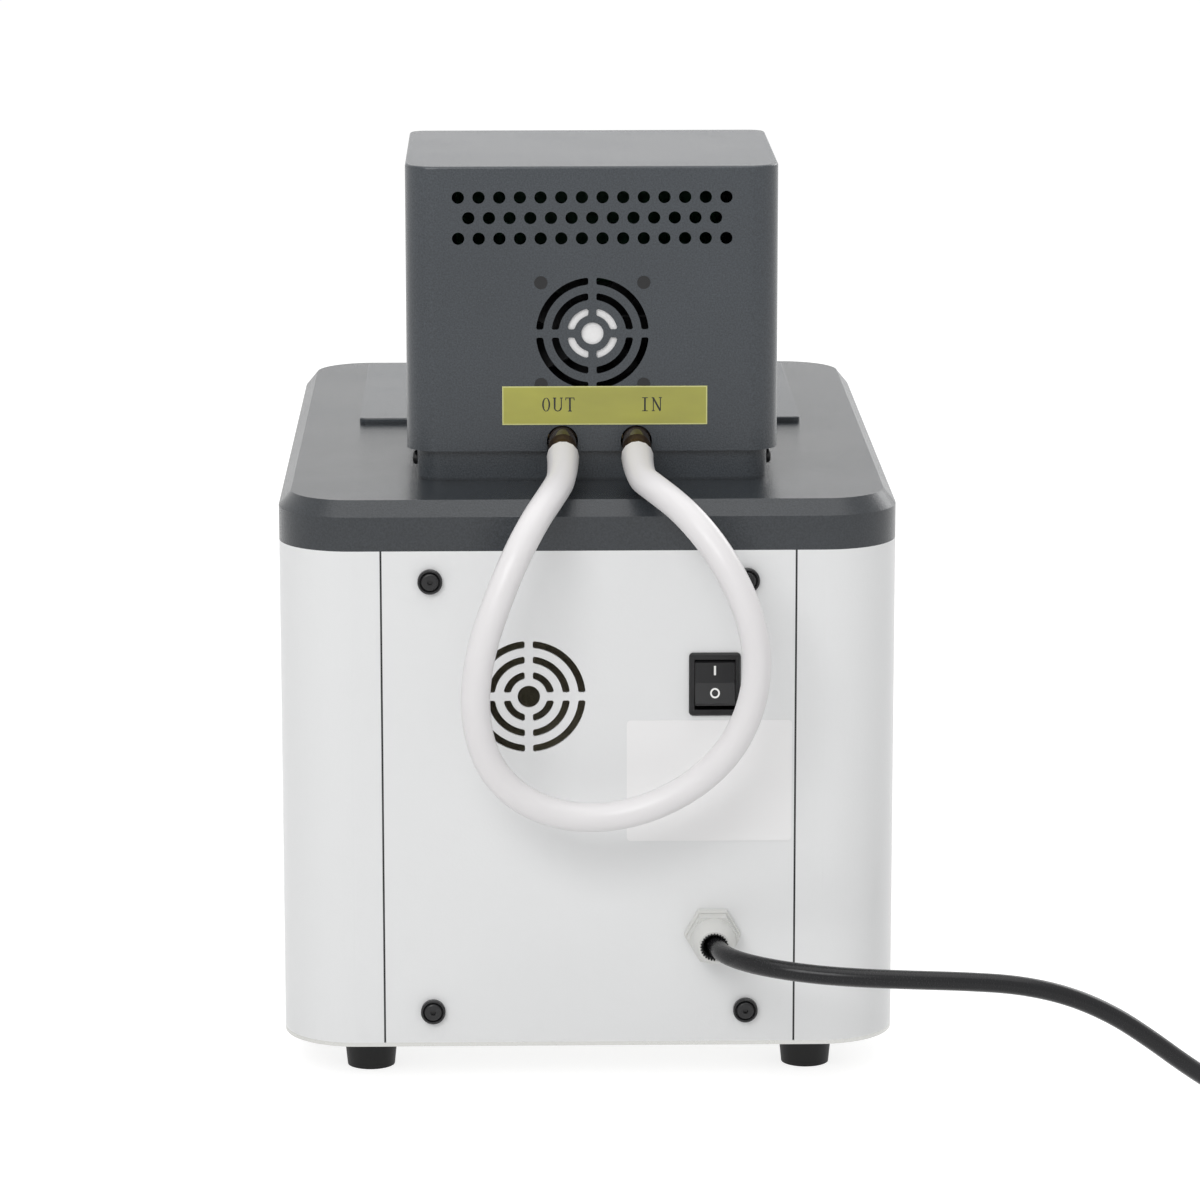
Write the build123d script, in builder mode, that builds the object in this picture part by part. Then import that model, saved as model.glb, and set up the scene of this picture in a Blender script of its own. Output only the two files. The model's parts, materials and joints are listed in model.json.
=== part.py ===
from build123d import *
import os
from math import atan, cos, pi, radians, sin, tan

os.makedirs("parts", exist_ok=True)

# A circulating oil bath on four rubber feet, in millimetres. The front faces -Y, the rear
# panel faces +Y and the floor is at Z = 0. The head with its pump stands over the rear of the
# tank, and the open end of the tank in front of it is closed by a loose plate.

# Sheet metal and fits
sheet = 1.5
pan_sheet = 2
slip_gap = 0.3
screw_gap = 0.1
running_gap = 0.05

# Lower case
body_width = 300
body_length = 430
body_corner = 36
foot_height = 20
body_top = 267
panel_width = 199.4
panel_seam = 0.5
lip_width = 34
lip_waist = 82
lip_waist_low = 56
lip_waist_high = 232
pan_rim = 14

# Deck, the dark lid of the lower case
deck_height = 24
deck_wall = 2.5
deck_bevel_in = 6.1
deck_bevel_down = 7.4
deck_skirt = 8

# Feet
foot_top_radius = 13.75
foot_bottom_radius = 11.75
foot_spacing = 215.8
foot_inset = 39.5
foot_recess_radius = 6.5
foot_recess_depth = 11
foot_screw_radius = 3
foot_head_radius = 5
foot_head_height = 4

# Rear panel screws in cup washers
panel_screw_spacing = 152.6
panel_screw_low = 37.9
panel_screw_high = 252.3
panel_screw_radius = 2
panel_screw_length = 12
button_radius = 4.4
button_height = 2.4
button_socket = 2.5
cup_radius = 6
cup_height = 3
cup_floor = 1

# Round slotted grilles, the lower one in the rear panel and the upper one in the head
grille_hole = 5.4
grille_first = 8.9
grille_slot = 3.5
grille_pitch = 7.55
grille_bar = 3.9
grille_rings = 3
grille_corner = 1
vent_side = 29
vent_height = 195.3

# Rocker switch, right of the vent as seen from behind
switch_side = 60.8
switch_height = 201.2
bezel_width = 25
bezel_height = 31
bezel_thickness = 2
bezel_corner = 2
switch_body_width = 21.8
switch_body_height = 27.8
switch_depth = 26
switch_cavity = 12
switch_blade_width = 6.3
switch_blade_thickness = 0.8
switch_blade_length = 8
aperture_width = 19.8
aperture_height = 24.8
rocker_side_gap = 0.3
rocker_angle = 10
rocker_half = 11
rocker_root = 9
rocker_back = 2
rocker_face = 4.6
rocker_pivot_depth = 3
rocker_lip = 1.2
rocker_pin_radius = 1.5
rocker_pin_reach = 0.8

# Cable gland and mains lead
gland_side = 60
gland_height = 77
gland_thread_radius = 10.2
gland_hex = 24
gland_hex_height = 6
gland_stub = 14
gland_neck_radius = 9.4
gland_neck_end = 14
cap_end = 27
cap_hex = 22
cap_mouth = 6.3
cap_wall = 1.3
seal_mouth = 5.6
seal_notches = 10
seal_notch_depth = 2
locknut_hex = 27
locknut_height = 5
cord_diameter = 9
cord_gap = 0.05

# Tank
tank_width = 240
tank_length = 300
tank_depth = 200
tank_setback = 94
tank_corner = 25
tank_floor_radius = 15
tank_sheet = 1
tank_flange = 12
tank_flange_sheet = 1.2
insulation_thickness = 20
insulation_top_gap = 5
rail_width = 40
rail_side = 70

# Drain in the front wall
drain_height = 105
drain_radius = 8
drain_bore = 5
drain_flange_radius = 13
drain_flange = 3
drain_plug_hex = 20
drain_plug_height = 8
drain_plug_stem = 14

# Loose plate over the open end of the tank
bath_side = -1
bath_setback = 313
cover_width = 229.6
cover_length = 183.4
cover_thickness = 3
cover_corner = 4
bath_opening_width = 206
bath_opening_length = 160
bath_opening_corner = 12
cover_rim_depth = 8
cover_rim_gap = 0.5
knob_radius = 15
knob_height = 24
knob_foot = 7.5
knob_stud = 2.5
knob_stud_reach = 5

# Head: folded cover on a low plinth
head_side = 2.8
head_width = 181.7
head_setback = 54.1
head_depth_top = 155.6
head_depth_bottom = 163
head_bottom = 306
head_top = 445.6
head_rear_corner = 15.5
head_front_corner = 8
head_top_edge = 1.2
plinth_side_inset = 5
plinth_end_inset = 4
plinth_corner = 12
plinth_lip = 10

# Three rows of round vents near the top of the head
vent_radius = 3
vent_pitch = 10
vent_rows = 3
vent_columns = 14
vent_first_drop = 15

# Cooling fan behind the head's grille
fan_height = 364
fan_size = 60
fan_depth = 25
fan_hole_pitch = 50
fan_bore_radius = 28.8
fan_corner = 4
fan_base_radius = 15.5
fan_strut = 3
fan_stator_radius = 11
fan_stator_depth = 11
fan_cup_outer = 15.2
fan_cup_inner = 13
fan_tip_gap = 0.7
fan_hub_gap = 0.8
fan_blades = 7
fan_blade_pitch = 40
fan_blade_chord = 19
fan_blade_thickness = 1.4
fan_shaft_radius = 1.5
fan_screw_radius = 2
fan_head_radius = 3.2
fan_head_depth = 0.8
fan_screw_length = 10

# Hose nozzles, pointing out and a little down below the grille
nozzle_pitch = 36.1
nozzle_mid = 3.35
nozzle_height = 311
nozzle_tilt = 12
nozzle_notch = 7.6
nozzle_stem_radius = 4.3
nozzle_barb_radius = 4.95
nozzle_bore = 3
nozzle_reach = 33
nozzle_barb_length = 13
nozzle_collar_radius = 7
nozzle_collar_start = -18
nozzle_collar_end = -7
nozzle_socket = 8
nozzle_barbs = 3
sleeve_radius = 6.8
sleeve_start = -5
sleeve_end = 8
hose_diameter = 14
hose_bore_radius = 5

# Pump
pump_setback = 96
pump_plate_thickness = 3
plate_tab_height = 10
plate_tab_length = 10
side_screw_height = 8.6
side_screw_inset = 17
side_screw_radius = 2
side_screw_head = 3.5
side_screw_dome = 2.4
side_screw_length = 6
plate_screw_radius = 2
plate_screw_head = 3.8
plate_screw_head_height = 2.2
plate_screw_length = 9
plate_screw_side = 74
plate_screw_inset = 12
pump_bolt_circle = 19.5
pump_bolt_radius = 2
pump_bolt_hex = 6.4
pump_bolt_head = 2.8
pump_bolt_length = 11
plate_shaft_hole = 8
pump_opening_width = 100
pump_opening_length = 92
motor_radius = 32
motor_flange = 66
motor_flange_height = 5
motor_height = 78
motor_corner = 5
motor_wall = 5
bearing_radius = 11
bearing_width = 7
shaft_radius = 4
rotor_gap = 0.6
rotor_radius = 20.4
rotor_length = 40
column_radius = 15
column_wall = 2
column_flange_radius = 24
column_flange = 3
column_window_width = 12
column_window_height = 60
housing_radius = 30
housing_bottom = 108
housing_height = 24
housing_roof = 6
housing_wall = 5
outlet_boss_radius = 8.5
outlet_bore = 3.5
pipe_seat_depth = 10
inlet_plate_thickness = 3
inlet_radius = 9
impeller_radius = 22
impeller_disc = 2.5
impeller_height = 11
impeller_vanes = 6
impeller_vane_thickness = 2
impeller_hub_radius = 8
impeller_lift = 3
pipe_radius = 5
pipe_wall = 1
pipe_bend = 16
pipe_gap = 0.05
pipe_setback = 50
pipe_edge = 4
return_end = 190
heater_radius = 4
heater_bend = 18
heater_lift = 12
heater_leg_side = 40
heater_rear_leg = 15
heater_front = 210
heater_half_width = 95
heater_tail = 9
probe_radius = 3
probe_side = 38
probe_setback = 58
probe_bottom = 150
probe_collar_radius = 5
probe_collar_height = 6

# Control panel on the leaning front face of the head
control_width = 150
control_height = 106
control_thickness = 2.5
control_corner = 8
control_centre_height = 382
control_rim_depth = 7
control_rim_wall = 2
control_border = 5
window_width = 84
window_height = 30
window_corner = 3
window_rise = 22
window_flange = 2.5
window_flange_thickness = 1
key_names = ["key_set", "key_down", "key_up", "key_pump"]
key_width = 14
key_height = 9
key_corner = 2
key_pitch = 28
key_drop = 24
key_gap = 0.25
key_proud = 1.4
key_travel = 0.8
key_flange = 1.5
key_flange_thickness = 1
key_flange_gap = 0.3
board_thickness = 1.6
board_margin = 4
board_post_radius = 3
board_post_inset = 6
button_box = 6
button_box_height = 3.5
display_width = 70
display_height = 22

# Power parts in the rear of the lower case
heat_sink_side = -38
heat_sink_setback = 14
heat_sink_width = 90
heat_sink_depth = 24
heat_sink_height = 60
heat_sink_base = 5
heat_sink_fins = 9
heat_sink_fin = 1.6
relay_width = 45
relay_height = 58
relay_thickness = 23

# Labels
label_thickness = 0.3
port_label_width = 100
port_label_height = 19
port_label_drop = 35.4
port_label_side = 6
rating_label_width = 80
rating_label_height = 60
rating_label_side = 58.3
rating_label_centre = 153.2

# Coil and plug of the mains lead, put away beside the bath
coil_side = 384
coil_setback = 10
coil_mid_radius = 50
coil_layers = 2
coil_corner = 4
coil_lead_in = 34
coil_lead_out = 33
plug_width = 25
plug_height = 27
plug_length = 32
plug_corner = 5
plug_boot_length = 26
plug_boot_radius = 7
plug_blade_spacing = 12.7
plug_blade_width = 6.3
plug_blade_thickness = 1.5
plug_blade_length = 16
plug_pin_radius = 2.4
plug_pin_drop = 11.9
plug_blade_rise = 4

# Worked-out heights and places
pan_top = foot_height + pan_sheet
deck_top = body_top + deck_height
tank_flange_top = deck_top - deck_wall
tank_floor = tank_flange_top - tank_depth
front_reach = drain_flange + drain_plug_height
lip_out = rocker_face + (rocker_half - rocker_lip) * tan(radians(rocker_angle))
tip_out = lip_out * cos(radians(rocker_angle)) + (rocker_half - rocker_lip) * sin(radians(rocker_angle))
rear_reach = tip_out - rocker_pivot_depth
rear_y = (body_length + front_reach - rear_reach) / 2
body_mid = rear_y - body_length / 2
head_rear = rear_y - head_setback
pump_y = head_rear - pump_setback
tank_mid = rear_y - tank_setback - tank_length / 2
pipe_y = head_rear - pipe_setback
pump_opening_mid = pipe_y + pipe_radius + pipe_edge - pump_opening_length / 2
nozzle_sides = (nozzle_mid - nozzle_pitch / 2, nozzle_mid + nozzle_pitch / 2)
lean_slope = (head_depth_bottom - head_depth_top) / (head_top - head_bottom)
lean = atan(lean_slope)

# Planes to draw on: the rear panel and the head's rear wall, both seen from behind
rear_plane = Plane(origin=(0, rear_y, 0), x_dir=(-1, 0, 0), z_dir=(0, 1, 0))
head_plane = Plane(origin=(-head_side, head_rear, 0), x_dir=(-1, 0, 0), z_dir=(0, 1, 0))
side_plane = Plane(origin=(-head_side, 0, 0), x_dir=(0, 1, 0), z_dir=(1, 0, 0))


def level(height):
    # A flat sketch plane at this height
    return Plane.XY.offset(height)


def from_rear(right, behind, height):
    # A point given as seen from behind: to the right, in from the rear panel, up from the floor
    return Vector(-right, rear_y - behind, height)


def rounded_box(width, length, corner, bottom, top, edge, mid):
    # A box with rounded uprights and a rounded bottom edge
    with BuildPart() as box:
        with BuildSketch(level(bottom)):
            with Locations((0, mid)):
                RectangleRounded(width, length, corner)
        extrude(amount=top - bottom)
        if edge > 0:
            fillet(box.faces().sort_by(Axis.Z)[0].edges(), edge)
    return box.part


def front_at(height):
    # Where the leaning front face of the head stands at this height
    return head_rear - head_depth_top - (head_top - height) * lean_slope


def head_block(inset, bottom, top):
    # The head's outer form, or the space inside it when it is inset by the sheet
    with BuildPart() as block:
        with BuildSketch(side_plane):
            with BuildLine():
                Polyline(
                    (head_rear - inset, bottom),
                    (head_rear - inset, top),
                    (front_at(top) + inset, top),
                    (front_at(bottom) + inset, bottom),
                    close=True,
                )
            make_face()
        extrude(amount=head_width / 2 - inset, both=True)
        fillet(block.edges().filter_by(Axis.Z), head_rear_corner - inset)
        front_edges = block.faces().sort_by(Axis.Y)[0].edges().filter_by(Axis.X, reverse=True)
        fillet(front_edges, head_front_corner - inset)
    return block.part


def nozzle_point(side, along):
    # A point on a nozzle's axis, this far out from the head's rear wall
    tilt = radians(nozzle_tilt)
    return Vector(
        -head_side - side, head_rear + along * cos(tilt), nozzle_height - along * sin(tilt)
    )


def nozzle_plane(side, along):
    # A plane square to a nozzle's axis
    tilt = radians(nozzle_tilt)
    return Plane(
        origin=nozzle_point(side, along), x_dir=(-1, 0, 0), z_dir=(0, cos(tilt), -sin(tilt))
    )


def route_radii(points):
    # The arc at each inner point of a cord is as large as its two runs allow
    radii = []
    for before, here, after in zip(points, points[1:], points[2:]):
        turn = radians((here - before).get_angle(after - here))
        shorter = min((here - before).length, (after - here).length)
        radii.append(0.45 * shorter / tan(turn / 2))
    return radii


def tube(name, points, bends, outer, bore):
    # A bar, or a tube with a bore, along straight runs joined by arcs
    with BuildPart() as bar:
        with BuildLine() as route:
            FilletPolyline(*points, radius=bends)
        with BuildSketch(Plane(origin=points[0], z_dir=points[1] - points[0])):
            Circle(outer)
            if bore > 0:
                Circle(bore, mode=Mode.SUBTRACT)
        sweep()
    length = sum(edge.length for edge in route.edges())
    ratio = bar.part.volume / (length * pi * (outer**2 - bore**2))
    print(f"{name} length {length:.1f} least radius {min(bends):.1f} volume ratio {ratio:.4f}")
    return bar.part


def grille(bar_reach):
    # Three rings of curved slots cut by a cross of bars, around one round hole
    with BuildSketch() as slots:
        for i in reversed(range(grille_rings)):
            inner = grille_first + i * grille_pitch
            Circle(inner + grille_slot)
            Circle(inner, mode=Mode.SUBTRACT)
        Rectangle(grille_bar, bar_reach, mode=Mode.SUBTRACT)
        Rectangle(bar_reach, grille_bar, mode=Mode.SUBTRACT)
        fillet(slots.vertices(), grille_corner)
        Circle(grille_hole)
    return slots.sketch


grille_radius = grille_first + (grille_rings - 1) * grille_pitch + grille_slot
grille_slots = grille(3 * grille_radius)

# Bottom pan of the lower case, its rim stopping short of the rear panel
rim_inset = sheet + slip_gap
foot_points = []
for side in (-1, 1):
    for end in (foot_inset, body_length - foot_inset):
        foot_points.append((side * foot_spacing / 2, rear_y - end))
with BuildPart() as base_pan:
    with BuildSketch(level(foot_height)):
        with Locations((0, body_mid)):
            RectangleRounded(body_width, body_length, body_corner)
        with Locations(*foot_points):
            Circle(foot_screw_radius + screw_gap, mode=Mode.SUBTRACT)
    extrude(amount=pan_sheet)
    with BuildSketch(level(pan_top)):
        with Locations((0, body_mid)):
            RectangleRounded(
                body_width - 2 * rim_inset, body_length - 2 * rim_inset, body_corner - rim_inset
            )
            RectangleRounded(
                body_width - 2 * (rim_inset + sheet),
                body_length - 2 * (rim_inset + sheet),
                body_corner - rim_inset - sheet,
                mode=Mode.SUBTRACT,
            )
        with Locations((0, rear_y)):
            Rectangle(panel_width + 4 * sheet, 2 * body_corner, mode=Mode.SUBTRACT)
    extrude(amount=pan_rim)
base_pan.part.label = "base_pan"
export_step(base_pan.part, "parts/base_pan.step")

# White wrap around the sides and front, with lips behind the rear panel
window_half = panel_width / 2 + panel_seam
lip_reach = lip_width + sheet
drain_plane = Plane(
    origin=(0, rear_y - body_length, drain_height), x_dir=(1, 0, 0), z_dir=(0, -1, 0)
)
screw_points = []
for side in (-1, 1):
    for height in (panel_screw_low, panel_screw_high):
        screw_points.append((side * panel_screw_spacing / 2, height))
with BuildPart() as body_wrap:
    with BuildSketch(level(pan_top)):
        with Locations((0, body_mid)):
            RectangleRounded(body_width, body_length, body_corner)
            RectangleRounded(
                body_width - 2 * sheet,
                body_length - 2 * sheet,
                body_corner - sheet,
                mode=Mode.SUBTRACT,
            )
        with Locations((0, rear_y)):
            Rectangle(2 * window_half, 2 * sheet, mode=Mode.SUBTRACT)
        for side in (-1, 1):
            with Locations((side * (window_half + sheet - lip_reach / 2), rear_y - 1.5 * sheet)):
                Rectangle(lip_reach, sheet)
    extrude(amount=body_top - pan_top)
    with BuildSketch(rear_plane):
        with Locations(*screw_points):
            Circle(panel_screw_radius + screw_gap)
    extrude(amount=-4 * sheet, mode=Mode.SUBTRACT)
    with BuildSketch(rear_plane.offset(-sheet)):
        with Locations((0, (lip_waist_low + lip_waist_high) / 2)):
            Rectangle(2 * lip_waist, lip_waist_high - lip_waist_low)
    extrude(amount=-sheet, mode=Mode.SUBTRACT)
    with BuildSketch(drain_plane):
        Circle(drain_radius + screw_gap)
    extrude(amount=-4 * sheet, mode=Mode.SUBTRACT)
body_wrap.part.label = "body_wrap"
export_step(body_wrap.part, "parts/body_wrap.step")

# Flat rear panel with the grille, switch and gland openings
with BuildPart() as rear_panel:
    with BuildSketch(rear_plane):
        with Locations((0, (pan_top + body_top) / 2)):
            Rectangle(panel_width, body_top - pan_top)
        with Locations((switch_side, switch_height)):
            Rectangle(
                switch_body_width + slip_gap, switch_body_height + slip_gap, mode=Mode.SUBTRACT
            )
        with Locations((gland_side, gland_height)):
            Circle(gland_thread_radius + screw_gap, mode=Mode.SUBTRACT)
        with Locations(*screw_points):
            Circle(panel_screw_radius + screw_gap, mode=Mode.SUBTRACT)
        with Locations((-vent_side, vent_height)):
            add(grille_slots, mode=Mode.SUBTRACT)
    extrude(amount=-sheet)
rear_panel.part.label = "rear_panel"
export_step(rear_panel.part, "parts/rear_panel.step")

# Cup washers and socket button screws of the rear panel
cup_plane = rear_plane.offset(cup_floor)
with BuildPart() as cup_washers:
    with BuildSketch(rear_plane):
        with Locations(*screw_points):
            Circle(cup_radius)
            Circle(panel_screw_radius + screw_gap, mode=Mode.SUBTRACT)
    extrude(amount=cup_height)
    with BuildSketch(cup_plane):
        with Locations(*screw_points):
            Circle(button_radius + slip_gap)
    extrude(amount=cup_height, mode=Mode.SUBTRACT)
    chamfer(cup_washers.edges().filter_by(GeomType.CIRCLE).group_by(Axis.Y)[-1], 0.4)
cup_washers.part.label = "cup_washers"
export_step(cup_washers.part, "parts/cup_washers.step")

with BuildPart() as panel_screws:
    with BuildSketch(cup_plane):
        with Locations(*screw_points):
            Circle(button_radius)
    extrude(amount=button_height)
    fillet(panel_screws.edges().filter_by(GeomType.CIRCLE).group_by(Axis.Y)[-1], 1.2)
    with BuildSketch(cup_plane.offset(button_height)):
        with Locations(*screw_points):
            RegularPolygon(button_socket / 2, 6, major_radius=False)
    extrude(amount=-0.7 * button_height, mode=Mode.SUBTRACT)
    with BuildSketch(cup_plane):
        with Locations(*screw_points):
            Circle(panel_screw_radius)
    extrude(amount=-panel_screw_length)
panel_screws.part.label = "panel_screws"
export_step(panel_screws.part, "parts/panel_screws.step")

# Feet, each held by a screw in a recess of its underside
with BuildPart() as rubber_feet:
    for point in foot_points:
        with Locations((point[0], point[1], foot_height / 2)):
            Cone(foot_bottom_radius, foot_top_radius, foot_height)
        with Locations((point[0], point[1], foot_recess_depth / 2)):
            Cylinder(foot_recess_radius, foot_recess_depth, mode=Mode.SUBTRACT)
        with Locations((point[0], point[1], foot_height / 2)):
            Cylinder(foot_screw_radius + screw_gap, foot_height, mode=Mode.SUBTRACT)
rubber_feet.part.label = "rubber_feet"
export_step(rubber_feet.part, "parts/rubber_feet.step")

with BuildPart() as foot_screws:
    with BuildSketch(level(foot_recess_depth - foot_head_height)):
        with Locations(*foot_points):
            Circle(foot_head_radius)
    extrude(amount=foot_head_height)
    with BuildSketch(level(foot_recess_depth)):
        with Locations(*foot_points):
            Circle(foot_screw_radius)
    extrude(amount=foot_height - foot_recess_depth + 3 * pan_sheet)
foot_screws.part.label = "foot_screws"
export_step(foot_screws.part, "parts/foot_screws.step")

# Stainless tank hung from its flange under the deck
drain_out = body_length - tank_setback - tank_length
with BuildPart() as bath_tank:
    add(
        rounded_box(
            tank_width + 2 * tank_sheet,
            tank_length + 2 * tank_sheet,
            tank_corner + tank_sheet,
            tank_floor - tank_sheet,
            tank_flange_top,
            tank_floor_radius + tank_sheet,
            tank_mid,
        )
    )
    with BuildSketch(level(tank_flange_top)):
        with Locations((0, tank_mid)):
            RectangleRounded(
                tank_width + 2 * tank_flange, tank_length + 2 * tank_flange, tank_corner + tank_flange
            )
    extrude(amount=-tank_flange_sheet)
    add(
        rounded_box(
            tank_width, tank_length, tank_corner, tank_floor, tank_flange_top + 1,
            tank_floor_radius, tank_mid,
        ),
        mode=Mode.SUBTRACT,
    )
    with BuildSketch(drain_plane):
        Circle(drain_radius)
    extrude(amount=-(drain_out + drain_bore), mode=Mode.SUBTRACT)
bath_tank.part.label = "bath_tank"
export_step(bath_tank.part, "parts/bath_tank.step")

# Open-topped jacket of mineral wool around the tank
jacket_inside = tank_sheet + slip_gap
jacket_outside = jacket_inside + insulation_thickness
jacket_bottom = tank_floor - jacket_outside
jacket_top = body_top - insulation_top_gap
with BuildPart() as tank_insulation:
    add(
        rounded_box(
            tank_width + 2 * jacket_outside,
            tank_length + 2 * jacket_outside,
            tank_corner + jacket_outside,
            jacket_bottom,
            jacket_top,
            0,
            tank_mid,
        )
    )
    add(
        rounded_box(
            tank_width + 2 * jacket_inside,
            tank_length + 2 * jacket_inside,
            tank_corner + jacket_inside,
            tank_floor - jacket_inside,
            jacket_top + 1,
            tank_floor_radius,
            tank_mid,
        ),
        mode=Mode.SUBTRACT,
    )
    with BuildSketch(drain_plane):
        Circle(drain_radius + slip_gap)
    extrude(amount=-(drain_out + drain_bore), mode=Mode.SUBTRACT)
tank_insulation.part.label = "tank_insulation"
export_step(tank_insulation.part, "parts/tank_insulation.step")

# Two folded rails on the pan carry the jacket and the full tank
with BuildPart() as tank_rails:
    with BuildSketch(level(pan_top)):
        with Locations((-rail_side, tank_mid), (rail_side, tank_mid)):
            Rectangle(rail_width, tank_length)
    extrude(amount=jacket_bottom - pan_top)
    with BuildSketch(level(pan_top)):
        with Locations((-rail_side, tank_mid), (rail_side, tank_mid)):
            Rectangle(rail_width - 2 * sheet, tank_length)
    extrude(amount=jacket_bottom - pan_top - sheet, mode=Mode.SUBTRACT)
tank_rails.part.label = "tank_rails"
export_step(tank_rails.part, "parts/tank_rails.step")

# Drain tube welded into the tank wall, with its flange on the wrap and a hexagon plug
with BuildPart() as drain_fitting:
    with BuildSketch(drain_plane):
        Circle(drain_radius)
    extrude(amount=-drain_out)
    with BuildSketch(drain_plane):
        Circle(drain_flange_radius)
    extrude(amount=drain_flange)
    fillet(drain_fitting.edges().filter_by(GeomType.CIRCLE).sort_by(Axis.Y)[0], 0.8)
    with BuildSketch(drain_plane.offset(drain_flange)):
        Circle(drain_bore)
    extrude(amount=-(drain_out + drain_flange), mode=Mode.SUBTRACT)
drain_fitting.part.label = "drain_fitting"
export_step(drain_fitting.part, "parts/drain_fitting.step")

with BuildPart() as drain_plug:
    with BuildSketch(drain_plane.offset(drain_flange)):
        RegularPolygon(drain_plug_hex / 2, 6, major_radius=False)
    extrude(amount=drain_plug_height)
    chamfer(drain_plug.faces().sort_by(Axis.Y)[0].edges(), 0.8)
    with BuildSketch(drain_plane.offset(drain_flange)):
        Circle(drain_bore - screw_gap)
    extrude(amount=-drain_plug_stem)
drain_plug.part.label = "drain_plug"
export_step(drain_plug.part, "parts/drain_plug.step")

# Deck with a bevelled top edge, open over the tank and under the head
bath_mid = rear_y - bath_setback
deck_skirt_inset = sheet + slip_gap
plinth_width = head_width - 2 * plinth_side_inset
plinth_length = head_depth_bottom - 2 * plinth_end_inset
plinth_mid = head_rear - head_depth_bottom / 2
plate_width = plinth_width - 2 * (sheet + slip_gap)
plate_length = plinth_length - 2 * (sheet + slip_gap)
plate_screw_points = []
for side in (-1, 1):
    for end in (-1, 1):
        x = side * plate_screw_side - head_side
        y = plinth_mid + end * (plate_length / 2 - plate_screw_inset)
        plate_screw_points.append((x, y))
with BuildPart() as deck_inside:
    with BuildSketch(level(body_top)):
        with Locations((0, body_mid)):
            RectangleRounded(
                body_width - 2 * deck_wall, body_length - 2 * deck_wall, body_corner - deck_wall
            )
    extrude(amount=deck_height - deck_wall)
    deck_inside_top = deck_inside.faces().sort_by(Axis.Z)[-1]
    chamfer(deck_inside_top.edges(), deck_bevel_in, deck_bevel_down, reference=deck_inside_top)
with BuildPart() as top_deck:
    with BuildSketch(level(body_top)):
        with Locations((0, body_mid)):
            RectangleRounded(body_width, body_length, body_corner)
    extrude(amount=deck_height)
    deck_face = top_deck.faces().sort_by(Axis.Z)[-1]
    chamfer(deck_face.edges(), deck_bevel_in, deck_bevel_down, reference=deck_face)
    add(deck_inside.part, mode=Mode.SUBTRACT)
    with BuildSketch(level(body_top - deck_skirt)):
        with Locations((0, body_mid)):
            RectangleRounded(
                body_width - 2 * deck_skirt_inset,
                body_length - 2 * deck_skirt_inset,
                body_corner - deck_skirt_inset,
            )
            RectangleRounded(
                body_width - 2 * (deck_skirt_inset + sheet),
                body_length - 2 * (deck_skirt_inset + sheet),
                body_corner - deck_skirt_inset - sheet,
                mode=Mode.SUBTRACT,
            )
        with Locations((0, rear_y)):
            Rectangle(panel_width + 4 * sheet, 2 * body_corner, mode=Mode.SUBTRACT)
    extrude(amount=deck_skirt + deck_wall)
    with BuildSketch(level(deck_top)):
        with Locations((-bath_side, bath_mid)):
            RectangleRounded(bath_opening_width, bath_opening_length, bath_opening_corner)
        with Locations((-head_side, pump_opening_mid)):
            RectangleRounded(pump_opening_width, pump_opening_length, bath_opening_corner)
        with Locations(*plate_screw_points):
            Circle(plate_screw_radius + screw_gap)
    extrude(amount=-2 * deck_wall, mode=Mode.SUBTRACT)
top_deck.part.label = "top_deck"
export_step(top_deck.part, "parts/top_deck.step")

# Loose cover plate with a rim that drops into the opening, and its knob
with BuildPart() as bath_cover:
    with BuildSketch(level(deck_top)):
        with Locations((-bath_side, bath_mid)):
            RectangleRounded(cover_width, cover_length, cover_corner)
            Circle(knob_stud + screw_gap, mode=Mode.SUBTRACT)
    extrude(amount=cover_thickness)
    fillet(bath_cover.faces().sort_by(Axis.Z)[-1].outer_wire().edges(), 0.8)
    with BuildSketch(level(deck_top)):
        with Locations((-bath_side, bath_mid)):
            RectangleRounded(
                bath_opening_width - 2 * cover_rim_gap,
                bath_opening_length - 2 * cover_rim_gap,
                bath_opening_corner - cover_rim_gap,
            )
            RectangleRounded(
                bath_opening_width - 2 * (cover_rim_gap + sheet),
                bath_opening_length - 2 * (cover_rim_gap + sheet),
                bath_opening_corner - cover_rim_gap - sheet,
                mode=Mode.SUBTRACT,
            )
    extrude(amount=-cover_rim_depth)
bath_cover.part.label = "bath_cover"
export_step(bath_cover.part, "parts/bath_cover.step")

knob_base = deck_top + cover_thickness
knob_plane = Plane(origin=(-bath_side, bath_mid, knob_base), x_dir=(1, 0, 0), z_dir=(0, -1, 0))
with BuildPart() as cover_knob:
    with BuildSketch(knob_plane):
        with BuildLine():
            stud_end = -cover_thickness - knob_stud_reach
            Polyline((0, stud_end), (knob_stud, stud_end), (knob_stud, 0), (knob_foot, 0))
            Line((knob_foot, 0), (knob_foot, 0.3 * knob_height))
            Spline(
                (knob_foot, 0.3 * knob_height),
                (0.8 * knob_radius, 0.48 * knob_height),
                (knob_radius, 0.75 * knob_height),
                tangents=((0, 1), (0, 1)),
            )
            Spline(
                (knob_radius, 0.75 * knob_height),
                (0, knob_height),
                tangents=((0, 1), (-1, 0)),
            )
            Line((0, knob_height), (0, stud_end))
        make_face()
    revolve(axis=Axis((-bath_side, bath_mid, 0), (0, 0, 1)))
cover_knob.part.label = "cover_knob"
export_step(cover_knob.part, "parts/cover_knob.step")

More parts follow.
